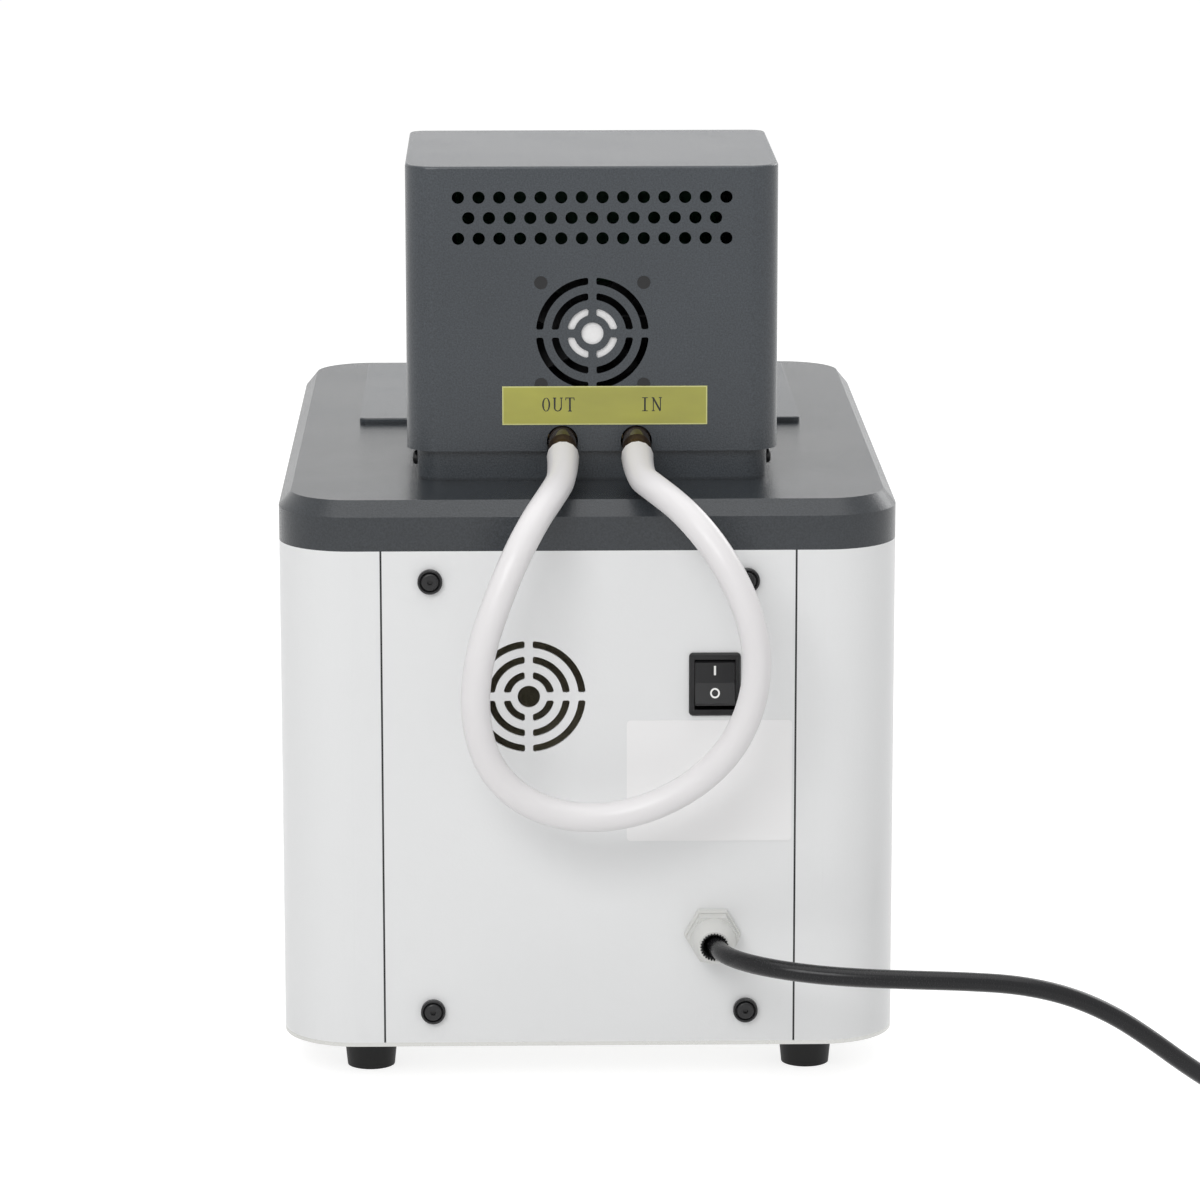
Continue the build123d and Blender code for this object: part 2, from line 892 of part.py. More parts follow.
# Steel plate that carries the pump, heater and pipes, with tabs for the head's side screws
tab_points = []
for end in (-1, 1):
    tab_points.append((plinth_mid + end * (plinth_length / 2 - side_screw_inset), 0))
heater_y = pump_y + heater_rear_leg
heater_points = []
for side in (-1, 1):
    heater_points.append((side * heater_leg_side - head_side, heater_y))
pipe_points = []
for side in nozzle_sides:
    pipe_points.append((-head_side - side, pipe_y))
probe_point = (probe_side - head_side, head_rear - probe_setback)
with BuildPart() as pump_plate:
    with BuildSketch(level(deck_top)):
        with Locations((-head_side, plinth_mid)):
            RectangleRounded(plate_width, plate_length, plinth_corner - sheet - slip_gap)
    extrude(amount=pump_plate_thickness)
    for side in (-1, 1):
        with BuildSketch(level(deck_top + pump_plate_thickness)):
            for point in tab_points:
                x = side * (plate_width - pump_plate_thickness) / 2 - head_side
                with Locations((x, point[0])):
                    Rectangle(pump_plate_thickness, plate_tab_length)
        extrude(amount=plate_tab_height)
    with BuildSketch(level(deck_top)):
        with Locations((-head_side, pump_y)):
            Circle(plate_shaft_hole)
            with PolarLocations(pump_bolt_circle, 4, start_angle=45):
                Circle(pump_bolt_radius + screw_gap)
        with Locations(*pipe_points):
            Circle(pipe_radius + screw_gap)
        with Locations(*heater_points):
            Circle(heater_radius + screw_gap)
        with Locations(probe_point):
            Circle(probe_radius + screw_gap)
        with Locations(*plate_screw_points):
            Circle(plate_screw_radius + screw_gap)
    extrude(amount=pump_plate_thickness, mode=Mode.SUBTRACT)
    with BuildSketch(side_plane):
        for point in tab_points:
            with Locations((point[0], deck_top + side_screw_height)):
                Circle(side_screw_radius + screw_gap)
    extrude(amount=plate_width, both=True, mode=Mode.SUBTRACT)
pump_plate.part.label = "pump_plate"
export_step(pump_plate.part, "parts/pump_plate.step")

plate_top = deck_top + pump_plate_thickness
with BuildPart() as plate_screws:
    with BuildSketch(level(plate_top)):
        with Locations(*plate_screw_points):
            Circle(plate_screw_head)
    extrude(amount=plate_screw_head_height)
    fillet(plate_screws.edges().filter_by(GeomType.CIRCLE).group_by(Axis.Z)[-1], 1)
    with BuildSketch(level(plate_top)):
        with Locations(*plate_screw_points):
            Circle(plate_screw_radius)
    extrude(amount=-plate_screw_length)
plate_screws.part.label = "plate_screws"
export_step(plate_screws.part, "parts/plate_screws.step")

# Plinth of the head: a low skirt, stepped out to a lip inside the cover
lip_inset = sheet + slip_gap
lip_full_width = head_width - 2 * lip_inset
lip_length = head_depth_bottom - 2 * lip_inset - (sheet + plinth_lip) * lean_slope
lip_mid = head_rear - lip_inset - lip_length / 2
lip_corner = head_rear_corner - lip_inset
with BuildPart() as head_plinth:
    with BuildSketch(level(deck_top)):
        with Locations((-head_side, plinth_mid)):
            RectangleRounded(plinth_width, plinth_length, plinth_corner)
    extrude(amount=head_bottom - deck_top)
    with BuildSketch(level(head_bottom)):
        with Locations((-head_side, lip_mid)):
            RectangleRounded(lip_full_width, lip_length, lip_corner)
    extrude(amount=sheet + plinth_lip)
    with BuildSketch(level(head_bottom + sheet)):
        with Locations((-head_side, lip_mid)):
            RectangleRounded(lip_full_width - 2 * sheet, lip_length - 2 * sheet, lip_corner - sheet)
    extrude(amount=plinth_lip, mode=Mode.SUBTRACT)
    with BuildSketch(level(deck_top)):
        with Locations((-head_side, plinth_mid)):
            RectangleRounded(
                plinth_width - 2 * sheet, plinth_length - 2 * sheet, plinth_corner - sheet
            )
    extrude(amount=head_bottom + sheet - deck_top, mode=Mode.SUBTRACT)
    with BuildSketch(head_plane):
        for side in nozzle_sides:
            with Locations((side, nozzle_height)):
                Circle(nozzle_notch)
            with Locations((side, nozzle_height + plinth_lip / 2)):
                Rectangle(2 * nozzle_notch, plinth_lip)
    extrude(amount=-(plinth_end_inset + 2 * sheet), mode=Mode.SUBTRACT)
    with BuildSketch(side_plane):
        for point in tab_points:
            with Locations((point[0], deck_top + side_screw_height)):
                Circle(side_screw_radius + screw_gap)
    extrude(amount=plinth_width, both=True, mode=Mode.SUBTRACT)
head_plinth.part.label = "head_plinth"
export_step(head_plinth.part, "parts/head_plinth.step")

# Domed screws through the plinth's sides into the plate's tabs
with BuildPart() as side_screws:
    for side in (-1, 1):
        wall = Plane(
            origin=(side * plinth_width / 2 - head_side, 0, 0), x_dir=(0, side, 0), z_dir=(side, 0, 0)
        )
        with BuildSketch(wall):
            for point in tab_points:
                with Locations((side * point[0], deck_top + side_screw_height)):
                    Circle(side_screw_head)
        extrude(amount=side_screw_dome)
        with BuildSketch(wall):
            for point in tab_points:
                with Locations((side * point[0], deck_top + side_screw_height)):
                    Circle(side_screw_radius)
        extrude(amount=-side_screw_length)
    for group in (0, -1):
        fillet(side_screws.edges().filter_by(GeomType.CIRCLE).group_by(Axis.X)[group], 1.8)
side_screws.part.label = "side_screws"
export_step(side_screws.part, "parts/side_screws.step")

# Folded cover of the head, with its vents, grille, nozzle notches and front window
front_plane = Plane(
    origin=(-head_side, front_at(control_centre_height), control_centre_height),
    x_dir=(1, 0, 0),
    z_dir=(0, -cos(lean), sin(lean)),
)
front_window_width = control_width - 2 * control_border
front_window_height = control_height - 2 * control_border
fan_stud_points = []
for side in (-1, 1):
    for end in (-1, 1):
        fan_stud_points.append((side * fan_hole_pitch / 2, fan_height + end * fan_hole_pitch / 2))
with BuildPart() as head_cover:
    add(head_block(0, head_bottom, head_top))
    fillet(head_cover.faces().sort_by(Axis.Z)[-1].edges(), head_top_edge)
    add(head_block(sheet, head_bottom - 1, head_top - sheet), mode=Mode.SUBTRACT)
    with BuildSketch(head_plane):
        for row in range(vent_rows):
            columns = vent_columns - row % 2
            with Locations((0, head_top - vent_first_drop - row * vent_pitch)):
                with GridLocations(vent_pitch, 1, columns, 1):
                    Circle(vent_radius)
        with Locations((0, fan_height)):
            add(grille_slots)
        with Locations(*fan_stud_points):
            Circle(fan_screw_radius + screw_gap)
        for side in nozzle_sides:
            with Locations((side, nozzle_height)):
                Circle(nozzle_notch)
            with Locations((side, nozzle_height - plinth_lip / 2)):
                Rectangle(2 * nozzle_notch, plinth_lip)
    extrude(amount=-3 * sheet, mode=Mode.SUBTRACT)
    with BuildSketch(head_plane):
        with Locations(*fan_stud_points):
            Circle(fan_head_radius + running_gap)
    extrude(amount=-fan_head_depth, mode=Mode.SUBTRACT)
    with BuildSketch(front_plane):
        RectangleRounded(front_window_width, front_window_height, control_corner - control_border)
    extrude(amount=-3 * sheet, both=True, mode=Mode.SUBTRACT)
head_cover.part.label = "head_cover"
export_step(head_cover.part, "parts/head_cover.step")

# Control panel in the front window, with holes for the display and the keys
key_points = []
for i in range(len(key_names)):
    key_points.append(((i - (len(key_names) - 1) / 2) * key_pitch, -key_drop))
rim_width = front_window_width - 2 * slip_gap
rim_height = front_window_height - 2 * slip_gap
board_depth = control_rim_depth + 2
post_x = rim_width / 2 - control_rim_wall - board_post_inset
post_y = rim_height / 2 - control_rim_wall - board_post_inset
with BuildPart() as control_panel:
    with BuildSketch(front_plane):
        RectangleRounded(control_width, control_height, control_corner)
    extrude(amount=control_thickness)
    fillet(control_panel.faces().sort_by(Axis.Y)[0].edges(), 1)
    with BuildSketch(front_plane):
        RectangleRounded(rim_width, rim_height, control_corner - control_border)
        Rectangle(
            rim_width - 2 * control_rim_wall,
            rim_height - 2 * control_rim_wall,
            mode=Mode.SUBTRACT,
        )
    extrude(amount=-control_rim_depth)
    with BuildSketch(front_plane):
        with GridLocations(2 * post_x, 2 * post_y, 2, 2):
            Circle(board_post_radius)
    extrude(amount=-board_depth)
    with BuildSketch(front_plane):
        with Locations((0, window_rise)):
            RectangleRounded(window_width, window_height, window_corner)
        with Locations(*key_points):
            RectangleRounded(key_width, key_height, key_corner)
    extrude(amount=2 * control_thickness, mode=Mode.SUBTRACT)
control_panel.part.label = "control_panel"
export_step(control_panel.part, "parts/control_panel.step")

with BuildPart() as display_window:
    with BuildSketch(front_plane):
        with Locations((0, window_rise)):
            RectangleRounded(window_width - slip_gap, window_height - slip_gap, window_corner)
    extrude(amount=control_thickness - slip_gap)
    with BuildSketch(front_plane):
        with Locations((0, window_rise)):
            RectangleRounded(
                window_width + 2 * window_flange, window_height + 2 * window_flange, window_corner
            )
    extrude(amount=-window_flange_thickness)
display_window.part.label = "display_window"
export_step(display_window.part, "parts/display_window.step")

# Board behind the panel with the display block and one push button behind each key
with BuildPart() as display_board:
    with BuildSketch(front_plane.offset(-board_depth)):
        Rectangle(rim_width - board_margin, rim_height - board_margin)
    extrude(amount=-board_thickness)
    with BuildSketch(front_plane.offset(-board_depth)):
        with Locations((0, window_rise)):
            Rectangle(display_width, display_height)
    extrude(amount=board_depth - window_flange_thickness - slip_gap)
    with BuildSketch(front_plane.offset(-board_depth)):
        with Locations(*key_points):
            Rectangle(button_box, button_box)
    extrude(amount=button_box_height)
display_board.part.label = "display_board"
export_step(display_board.part, "parts/display_board.step")

# Push keys, each with a collar that holds it behind the panel
key_stem = board_depth - button_box_height - key_flange_gap - key_travel
for name, point in zip(key_names, key_points):
    with BuildPart() as key:
        with BuildSketch(front_plane.offset(-key_flange_gap)):
            with Locations(point):
                RectangleRounded(key_width - 2 * key_gap, key_height - 2 * key_gap, key_corner - key_gap)
        extrude(amount=key_flange_gap + control_thickness + key_proud)
        fillet(key.faces().sort_by(Axis.Y)[0].edges(), 0.6)
        with BuildSketch(front_plane.offset(-key_flange_gap)):
            with Locations(point):
                Rectangle(key_width + 2 * key_flange, key_height + 2 * key_flange)
        extrude(amount=-key_flange_thickness)
        with BuildSketch(front_plane):
            with Locations(point):
                Circle(button_box / 3)
        extrude(amount=-key_stem)
    key.part.label = name
    export_step(key.part, f"parts/{name}.step")

# Fan behind the grille: frame, motor base on a cross of struts, and the rotor around it
fan_plane = Plane(
    origin=(-head_side, head_rear - sheet, fan_height), x_dir=(-1, 0, 0), z_dir=(0, 1, 0)
)
with BuildPart() as fan_frame:
    with BuildSketch(fan_plane):
        RectangleRounded(fan_size, fan_size, fan_corner)
        Circle(fan_bore_radius, mode=Mode.SUBTRACT)
        with GridLocations(fan_hole_pitch, fan_hole_pitch, 2, 2):
            Circle(fan_screw_radius + screw_gap, mode=Mode.SUBTRACT)
    extrude(amount=-fan_depth)
    with BuildSketch(fan_plane):
        Rectangle(fan_size, fan_strut)
        Rectangle(fan_strut, fan_size)
        Circle(fan_base_radius)
    extrude(amount=-fan_strut)
    with BuildSketch(fan_plane.offset(-fan_strut)):
        Circle(fan_stator_radius)
    extrude(amount=-fan_stator_depth)
    with BuildSketch(fan_plane.offset(-fan_strut - fan_stator_depth)):
        Circle(fan_shaft_radius + running_gap)
    extrude(amount=fan_stator_depth, mode=Mode.SUBTRACT)
fan_frame.part.label = "fan_frame"
export_step(fan_frame.part, "parts/fan_frame.step")

cup_start = fan_strut + fan_hub_gap
cup_end = fan_depth - 2
with BuildPart() as fan_rotor:
    with Locations(fan_plane.offset(-(cup_start + cup_end) / 2)):
        with PolarLocations(0, fan_blades):
            with Locations((fan_bore_radius / 2 + fan_cup_inner / 2, 0, 0)):
                Box(
                    fan_bore_radius - fan_cup_inner + 2,
                    fan_blade_chord,
                    fan_blade_thickness,
                    rotation=(fan_blade_pitch, 0, 0),
                )
    with BuildSketch(fan_plane):
        Circle(fan_bore_radius - fan_tip_gap)
    extrude(amount=-fan_depth, mode=Mode.INTERSECT)
    with BuildSketch(fan_plane.offset(-cup_start)):
        Circle(fan_cup_outer)
    extrude(amount=cup_start - cup_end)
    with BuildSketch(fan_plane.offset(-cup_start)):
        Circle(fan_cup_inner)
    extrude(amount=cup_start - cup_end + fan_strut, mode=Mode.SUBTRACT)
    with BuildSketch(fan_plane.offset(-cup_end)):
        Circle(fan_shaft_radius)
    extrude(amount=cup_end - cup_start - fan_hub_gap)
fan_rotor.part.label = "fan_rotor"
export_step(fan_rotor.part, "parts/fan_rotor.step")

with BuildPart() as fan_screws:
    with BuildSketch(head_plane):
        with Locations(*fan_stud_points):
            Circle(fan_head_radius)
    extrude(amount=-fan_head_depth)
    with BuildSketch(head_plane):
        with Locations(*fan_stud_points):
            Circle(fan_screw_radius)
    extrude(amount=-fan_screw_length)
fan_screws.part.label = "fan_screws"
export_step(fan_screws.part, "parts/fan_screws.step")

# Pump motor standing on the plate, its shaft in two bearings
pump_axis = (-head_side, pump_y)
rotor_space = rotor_length + 2 * motor_wall
bearing_low = plate_top + motor_flange_height
cavity_low = bearing_low + bearing_width
bearing_high = cavity_low + rotor_space
with BuildPart() as pump_motor:
    with BuildSketch(level(plate_top)):
        with Locations(pump_axis):
            RectangleRounded(motor_flange, motor_flange, motor_corner)
    extrude(amount=motor_flange_height)
    with BuildSketch(level(bearing_low)):
        with Locations(pump_axis):
            Circle(motor_radius)
    extrude(amount=motor_height - motor_flange_height)
    fillet(pump_motor.edges().group_by(Axis.Z)[-1], motor_corner)
    with BuildSketch(level(plate_top)):
        with Locations(pump_axis):
            Circle(plate_shaft_hole)
    extrude(amount=motor_flange_height, mode=Mode.SUBTRACT)
    for bottom in (bearing_low, bearing_high):
        with BuildSketch(level(bottom)):
            with Locations(pump_axis):
                Circle(bearing_radius)
        extrude(amount=bearing_width, mode=Mode.SUBTRACT)
    with BuildSketch(level(cavity_low)):
        with Locations(pump_axis):
            Circle(rotor_radius + rotor_gap)
    extrude(amount=rotor_space, mode=Mode.SUBTRACT)
    with BuildSketch(level(plate_top)):
        with Locations(pump_axis):
            with PolarLocations(pump_bolt_circle, 4, start_angle=45):
                Circle(pump_bolt_radius + screw_gap)
    extrude(amount=pump_bolt_length - pump_plate_thickness, mode=Mode.SUBTRACT)
pump_motor.part.label = "pump_motor"
export_step(pump_motor.part, "parts/pump_motor.step")

with BuildPart() as motor_bearings:
    for bottom in (bearing_low, bearing_high):
        with BuildSketch(level(bottom)):
            with Locations(pump_axis):
                Circle(bearing_radius)
                Circle(shaft_radius + running_gap, mode=Mode.SUBTRACT)
        extrude(amount=bearing_width)
motor_bearings.part.label = "motor_bearings"
export_step(motor_bearings.part, "parts/motor_bearings.step")

with BuildPart() as motor_rotor:
    with BuildSketch(level(cavity_low + motor_wall)):
        with Locations(pump_axis):
            Circle(rotor_radius)
            Circle(shaft_radius, mode=Mode.SUBTRACT)
    extrude(amount=rotor_length)
motor_rotor.part.label = "motor_rotor"
export_step(motor_rotor.part, "parts/motor_rotor.step")

impeller_bottom = housing_bottom + impeller_lift
with BuildPart() as pump_shaft:
    with BuildSketch(level(impeller_bottom - 1)):
        with Locations(pump_axis):
            Circle(shaft_radius)
    extrude(amount=bearing_high + bearing_width - impeller_bottom + 1)
    chamfer(pump_shaft.edges().filter_by(GeomType.CIRCLE), 0.4)
pump_shaft.part.label = "pump_shaft"
export_step(pump_shaft.part, "parts/pump_shaft.step")

# Column that hangs the pump housing below the plate, with two windows for the oil
housing_top = housing_bottom + housing_height
column_plane = Plane(origin=(-head_side, pump_y, housing_top), x_dir=(-1, 0, 0), z_dir=(0, 1, 0))
with BuildPart() as pump_column:
    with BuildSketch(level(housing_top)):
        with Locations(pump_axis):
            Circle(column_radius)
    extrude(amount=deck_top - housing_top)
    with BuildSketch(level(deck_top)):
        with Locations(pump_axis):
            Circle(column_flange_radius)
    extrude(amount=-column_flange)
    with BuildSketch(level(housing_top)):
        with Locations(pump_axis):
            Circle(column_radius - column_wall)
    extrude(amount=deck_top - housing_top, mode=Mode.SUBTRACT)
    with BuildSketch(level(deck_top)):
        with Locations(pump_axis):
            with PolarLocations(pump_bolt_circle, 4, start_angle=45):
                Circle(pump_bolt_radius + screw_gap)
    extrude(amount=-column_flange, mode=Mode.SUBTRACT)
    with BuildSketch(column_plane):
        with Locations((0, 0.7 * column_window_height)):
            RectangleRounded(column_window_width, column_window_height, column_window_width / 3)
    extrude(amount=2 * column_radius, both=True, mode=Mode.SUBTRACT)
pump_column.part.label = "pump_column"
export_step(pump_column.part, "parts/pump_column.step")

with BuildPart() as pump_bolts:
    with BuildSketch(level(deck_top - column_flange)):
        with Locations(pump_axis):
            with PolarLocations(pump_bolt_circle, 4, start_angle=45):
                RegularPolygon(pump_bolt_hex / 2, 6, major_radius=False)
    extrude(amount=-pump_bolt_head)
    with BuildSketch(level(deck_top - column_flange)):
        with Locations(pump_axis):
            with PolarLocations(pump_bolt_circle, 4, start_angle=45):
                Circle(pump_bolt_radius)
    extrude(amount=pump_bolt_length)
pump_bolts.part.label = "pump_bolts"
export_step(pump_bolts.part, "parts/pump_bolts.step")

# Pump housing with an arm out to the socket of the outlet pipe
outlet_point = pipe_points[0]
outlet_reach = Vector(outlet_point[0] + head_side, outlet_point[1] - pump_y, 0)
arm_height = housing_height - housing_roof - 2
arm_plane = Plane(
    origin=(-head_side, pump_y, housing_bottom + arm_height / 2 + 2),
    x_dir=(0, 0, 1),
    z_dir=outlet_reach,
)
with BuildPart() as pump_housing:
    with BuildSketch(level(housing_bottom)):
        with Locations(pump_axis):
            Circle(housing_radius)
    extrude(amount=housing_height)
    with BuildSketch(level(housing_bottom + 2)):
        with Locations(outlet_point):
            Circle(outlet_boss_radius)
    extrude(amount=housing_height - 2)
    with BuildSketch(arm_plane):
        Rectangle(arm_height - 1, 2 * outlet_boss_radius - 2)
    extrude(amount=outlet_reach.length)
    with BuildSketch(level(housing_bottom)):
        with Locations(pump_axis):
            Circle(housing_radius - housing_wall)
    extrude(amount=housing_height - housing_roof, mode=Mode.SUBTRACT)
    with BuildSketch(level(housing_bottom)):
        with Locations(pump_axis):
            Circle(shaft_radius + running_gap)
    extrude(amount=housing_height, mode=Mode.SUBTRACT)
    with BuildSketch(arm_plane):
        Circle(outlet_bore)
    extrude(amount=outlet_reach.length, mode=Mode.SUBTRACT)
    with BuildSketch(level(housing_top)):
        with Locations(outlet_point):
            Circle(pipe_radius + pipe_gap)
    extrude(amount=-pipe_seat_depth, mode=Mode.SUBTRACT)
    with BuildSketch(level(housing_top)):
        with Locations(outlet_point):
            Circle(pipe_radius - pipe_wall)
    extrude(amount=-(housing_height - arm_height / 2 + pipe_wall), mode=Mode.SUBTRACT)
pump_housing.part.label = "pump_housing"
export_step(pump_housing.part, "parts/pump_housing.step")

with BuildPart() as pump_inlet_plate:
    with BuildSketch(level(housing_bottom)):
        with Locations(pump_axis):
            Circle(housing_radius)
            Circle(inlet_radius, mode=Mode.SUBTRACT)
    extrude(amount=-inlet_plate_thickness)
pump_inlet_plate.part.label = "pump_inlet_plate"
export_step(pump_inlet_plate.part, "parts/pump_inlet_plate.step")

with BuildPart() as impeller:
    with BuildSketch(level(impeller_bottom)):
        with Locations(pump_axis):
            Circle(impeller_radius)
    extrude(amount=impeller_disc)
    with BuildSketch(level(impeller_bottom)):
        with Locations(pump_axis):
            Circle(impeller_hub_radius)
            with PolarLocations((impeller_radius + shaft_radius) / 2, impeller_vanes):
                Rectangle(impeller_radius - shaft_radius - 1, impeller_vane_thickness)
    extrude(amount=impeller_height)
    with BuildSketch(level(impeller_bottom)):
        with Locations(pump_axis):
            Circle(shaft_radius)
    extrude(amount=impeller_height, mode=Mode.SUBTRACT)
impeller.part.label = "impeller"
export_step(impeller.part, "parts/impeller.step")

# Copper pipes from the nozzles down through the plate into the oil
pipe_start = nozzle_collar_start + nozzle_socket
pipe_turn = -pipe_setback / cos(radians(nozzle_tilt))
pipe_ends = (housing_top - pipe_seat_depth, return_end)
for name, side, end in zip(("outlet_pipe", "return_pipe"), nozzle_sides, pipe_ends):
    top_corner = nozzle_point(side, pipe_turn)
    stops = [nozzle_point(side, pipe_start), top_corner, Vector(top_corner.X, top_corner.Y, end)]
    with BuildPart() as pipe:
        add(tube(name, stops, [pipe_bend], pipe_radius, pipe_radius - pipe_wall))
    pipe.part.label = name
    export_step(pipe.part, f"parts/{name}.step")

# Brass hose nozzles on the pipe ends, and the dark sleeves around them in the wall
with BuildPart() as hose_nozzles:
    for side in nozzle_sides:
        out = nozzle_point(side, 1) - nozzle_point(side, 0)
        with BuildSketch(Plane(origin=nozzle_point(side, 0), x_dir=out, z_dir=(1, 0, 0))):
            with BuildLine():
                stops = [
                    (nozzle_collar_start, pipe_radius + pipe_gap),
                    (nozzle_collar_start, nozzle_collar_radius),
                    (nozzle_collar_end, nozzle_collar_radius),
                    (nozzle_collar_end, nozzle_stem_radius),
                ]
                barb = nozzle_barb_length / nozzle_barbs
                for i in range(nozzle_barbs):
                    root = nozzle_reach - nozzle_barb_length + i * barb
                    stops.append((root, nozzle_stem_radius))
                    stops.append((root, nozzle_barb_radius))
                stops.append((nozzle_reach, nozzle_stem_radius))
                stops.append((nozzle_reach, nozzle_bore))
                stops.append((pipe_start, nozzle_bore))
                stops.append((pipe_start, pipe_radius + pipe_gap))
                Polyline(*stops, close=True)
            make_face()
        revolve(axis=Axis(nozzle_point(side, 0), out))
hose_nozzles.part.label = "hose_nozzles"
export_step(hose_nozzles.part, "parts/hose_nozzles.step")

with BuildPart() as nozzle_sleeves:
    for side in nozzle_sides:
        with BuildSketch(nozzle_plane(side, sleeve_start)):
            Circle(sleeve_radius)
            Circle(nozzle_stem_radius + running_gap, mode=Mode.SUBTRACT)
        extrude(amount=sleeve_end - sleeve_start)
nozzle_sleeves.part.label = "nozzle_sleeves"
export_step(nozzle_sleeves.part, "parts/nozzle_sleeves.step")

# Tubular heater: down from the plate, once around near the tank floor and up again
heater_low = tank_floor + heater_lift
heater_far = rear_y - tank_setback - heater_front
heater_stops = [
    Vector(heater_points[1][0], heater_y, plate_top + heater_tail),
    Vector(heater_points[1][0], heater_y, heater_low),
    Vector(heater_half_width - head_side, heater_y, heater_low),
    Vector(heater_half_width - head_side, heater_far, heater_low),
    Vector(-heater_half_width - head_side, heater_far, heater_low),
    Vector(-heater_half_width - head_side, heater_y, heater_low),
    Vector(heater_points[0][0], heater_y, heater_low),
    Vector(heater_points[0][0], heater_y, plate_top + heater_tail),
]
with BuildPart() as heating_element:
    heater_bends = [heater_bend] * (len(heater_stops) - 2)
    add(tube("heating_element", heater_stops, heater_bends, heater_radius, 0))
heating_element.part.label = "heating_element"
export_step(heating_element.part, "parts/heating_element.step")

with BuildPart() as temperature_probe:
    with BuildSketch(level(probe_bottom)):
        with Locations(probe_point):
            Circle(probe_radius)
    extrude(amount=plate_top + probe_collar_height - probe_bottom)
    fillet(temperature_probe.edges().group_by(Axis.Z)[0], 0.8 * probe_radius)
    with BuildSketch(level(plate_top)):
        with Locations(probe_point):
            Circle(probe_collar_radius)
    extrude(amount=probe_collar_height)
temperature_probe.part.label = "temperature_probe"
export_step(temperature_probe.part, "parts/temperature_probe.step")

# Rocker switch: frame with a bezel, four blades behind, and the two-sided rocker
with BuildPart() as switch_frame:
    with BuildSketch(rear_plane):
        with Locations((switch_side, switch_height)):
            RectangleRounded(bezel_width, bezel_height, bezel_corner)
    extrude(amount=bezel_thickness)
    chamfer(switch_frame.faces().sort_by(Axis.Y)[-1].edges(), 0.8)
    with BuildSketch(rear_plane):
        with Locations((switch_side, switch_height)):
            Rectangle(switch_body_width, switch_body_height)
    extrude(amount=-switch_depth)
    with BuildSketch(rear_plane.offset(bezel_thickness)):
        with Locations((switch_side, switch_height)):
            Rectangle(aperture_width, aperture_height)
    extrude(amount=-switch_cavity - bezel_thickness, mode=Mode.SUBTRACT)
    with BuildSketch(rear_plane.offset(-switch_depth)):
        with Locations((switch_side, switch_height)):
            with GridLocations(switch_body_width / 2, switch_body_height / 2, 2, 2):
                Rectangle(switch_blade_width, switch_blade_thickness)
    extrude(amount=-switch_blade_length)
    with BuildSketch(side_plane):
        with Locations((rear_y - rocker_pivot_depth, switch_height)):
            Circle(rocker_pin_radius + running_gap)
    extrude(amount=2 * panel_width, both=True, mode=Mode.SUBTRACT)
switch_frame.part.label = "switch_frame"
export_step(switch_frame.part, "parts/switch_frame.step")

rocker_tilt = radians(rocker_angle)
rocker_plane = Plane(
    origin=(-switch_side, rear_y - rocker_pivot_depth, switch_height),
    x_dir=(0, -sin(rocker_tilt), cos(rocker_tilt)),
    z_dir=(-1, 0, 0),
)
with BuildPart() as switch_rocker:
    with BuildSketch(rocker_plane):
        with BuildLine():
            Polyline(
                (-rocker_root, -rocker_back),
                (-rocker_half, 0),
                (-rocker_half, lip_out - rocker_lip),
                (rocker_lip - rocker_half, lip_out),
                (0, rocker_face),
                (rocker_half - rocker_lip, lip_out),
                (rocker_half, lip_out - rocker_lip),
                (rocker_half, 0),
                (rocker_root, -rocker_back),
                close=True,
            )
        make_face()
    extrude(amount=aperture_width / 2 - rocker_side_gap, both=True)
    with BuildSketch(rocker_plane):
        Circle(rocker_pin_radius)
    extrude(amount=aperture_width / 2 + rocker_pin_reach, both=True)
switch_rocker.part.label = "switch_rocker"
export_step(switch_rocker.part, "parts/switch_rocker.step")

# Cable gland: body through the panel, locknut behind it, cap and seal outside
gland_plane = Plane(
    origin=(-gland_side, rear_y, gland_height), x_dir=(-1, 0, 0), z_dir=(0, 1, 0)
)
with BuildPart() as gland_body:
    with BuildSketch(gland_plane):
        RegularPolygon(gland_hex / 2, 6, major_radius=False)
    extrude(amount=gland_hex_height)
    chamfer(gland_body.edges().filter_by(Plane.XZ), 0.5)
    with BuildSketch(gland_plane):
        Circle(gland_thread_radius)
    extrude(amount=-gland_stub)
    with BuildSketch(gland_plane):
        Circle(gland_neck_radius)
    extrude(amount=gland_neck_end)
    with BuildSketch(gland_plane.offset(gland_neck_end)):
        Circle(cord_diameter / 2 + slip_gap)
    extrude(amount=-gland_neck_end - gland_stub, mode=Mode.SUBTRACT)
gland_body.part.label = "gland_body"
export_step(gland_body.part, "parts/gland_body.step")

with BuildPart() as gland_locknut:
    with BuildSketch(gland_plane.offset(-sheet)):
        RegularPolygon(locknut_hex / 2, 6, major_radius=False)
        Circle(gland_thread_radius + screw_gap, mode=Mode.SUBTRACT)
    extrude(amount=-locknut_height)
gland_locknut.part.label = "gland_locknut"
export_step(gland_locknut.part, "parts/gland_locknut.step")

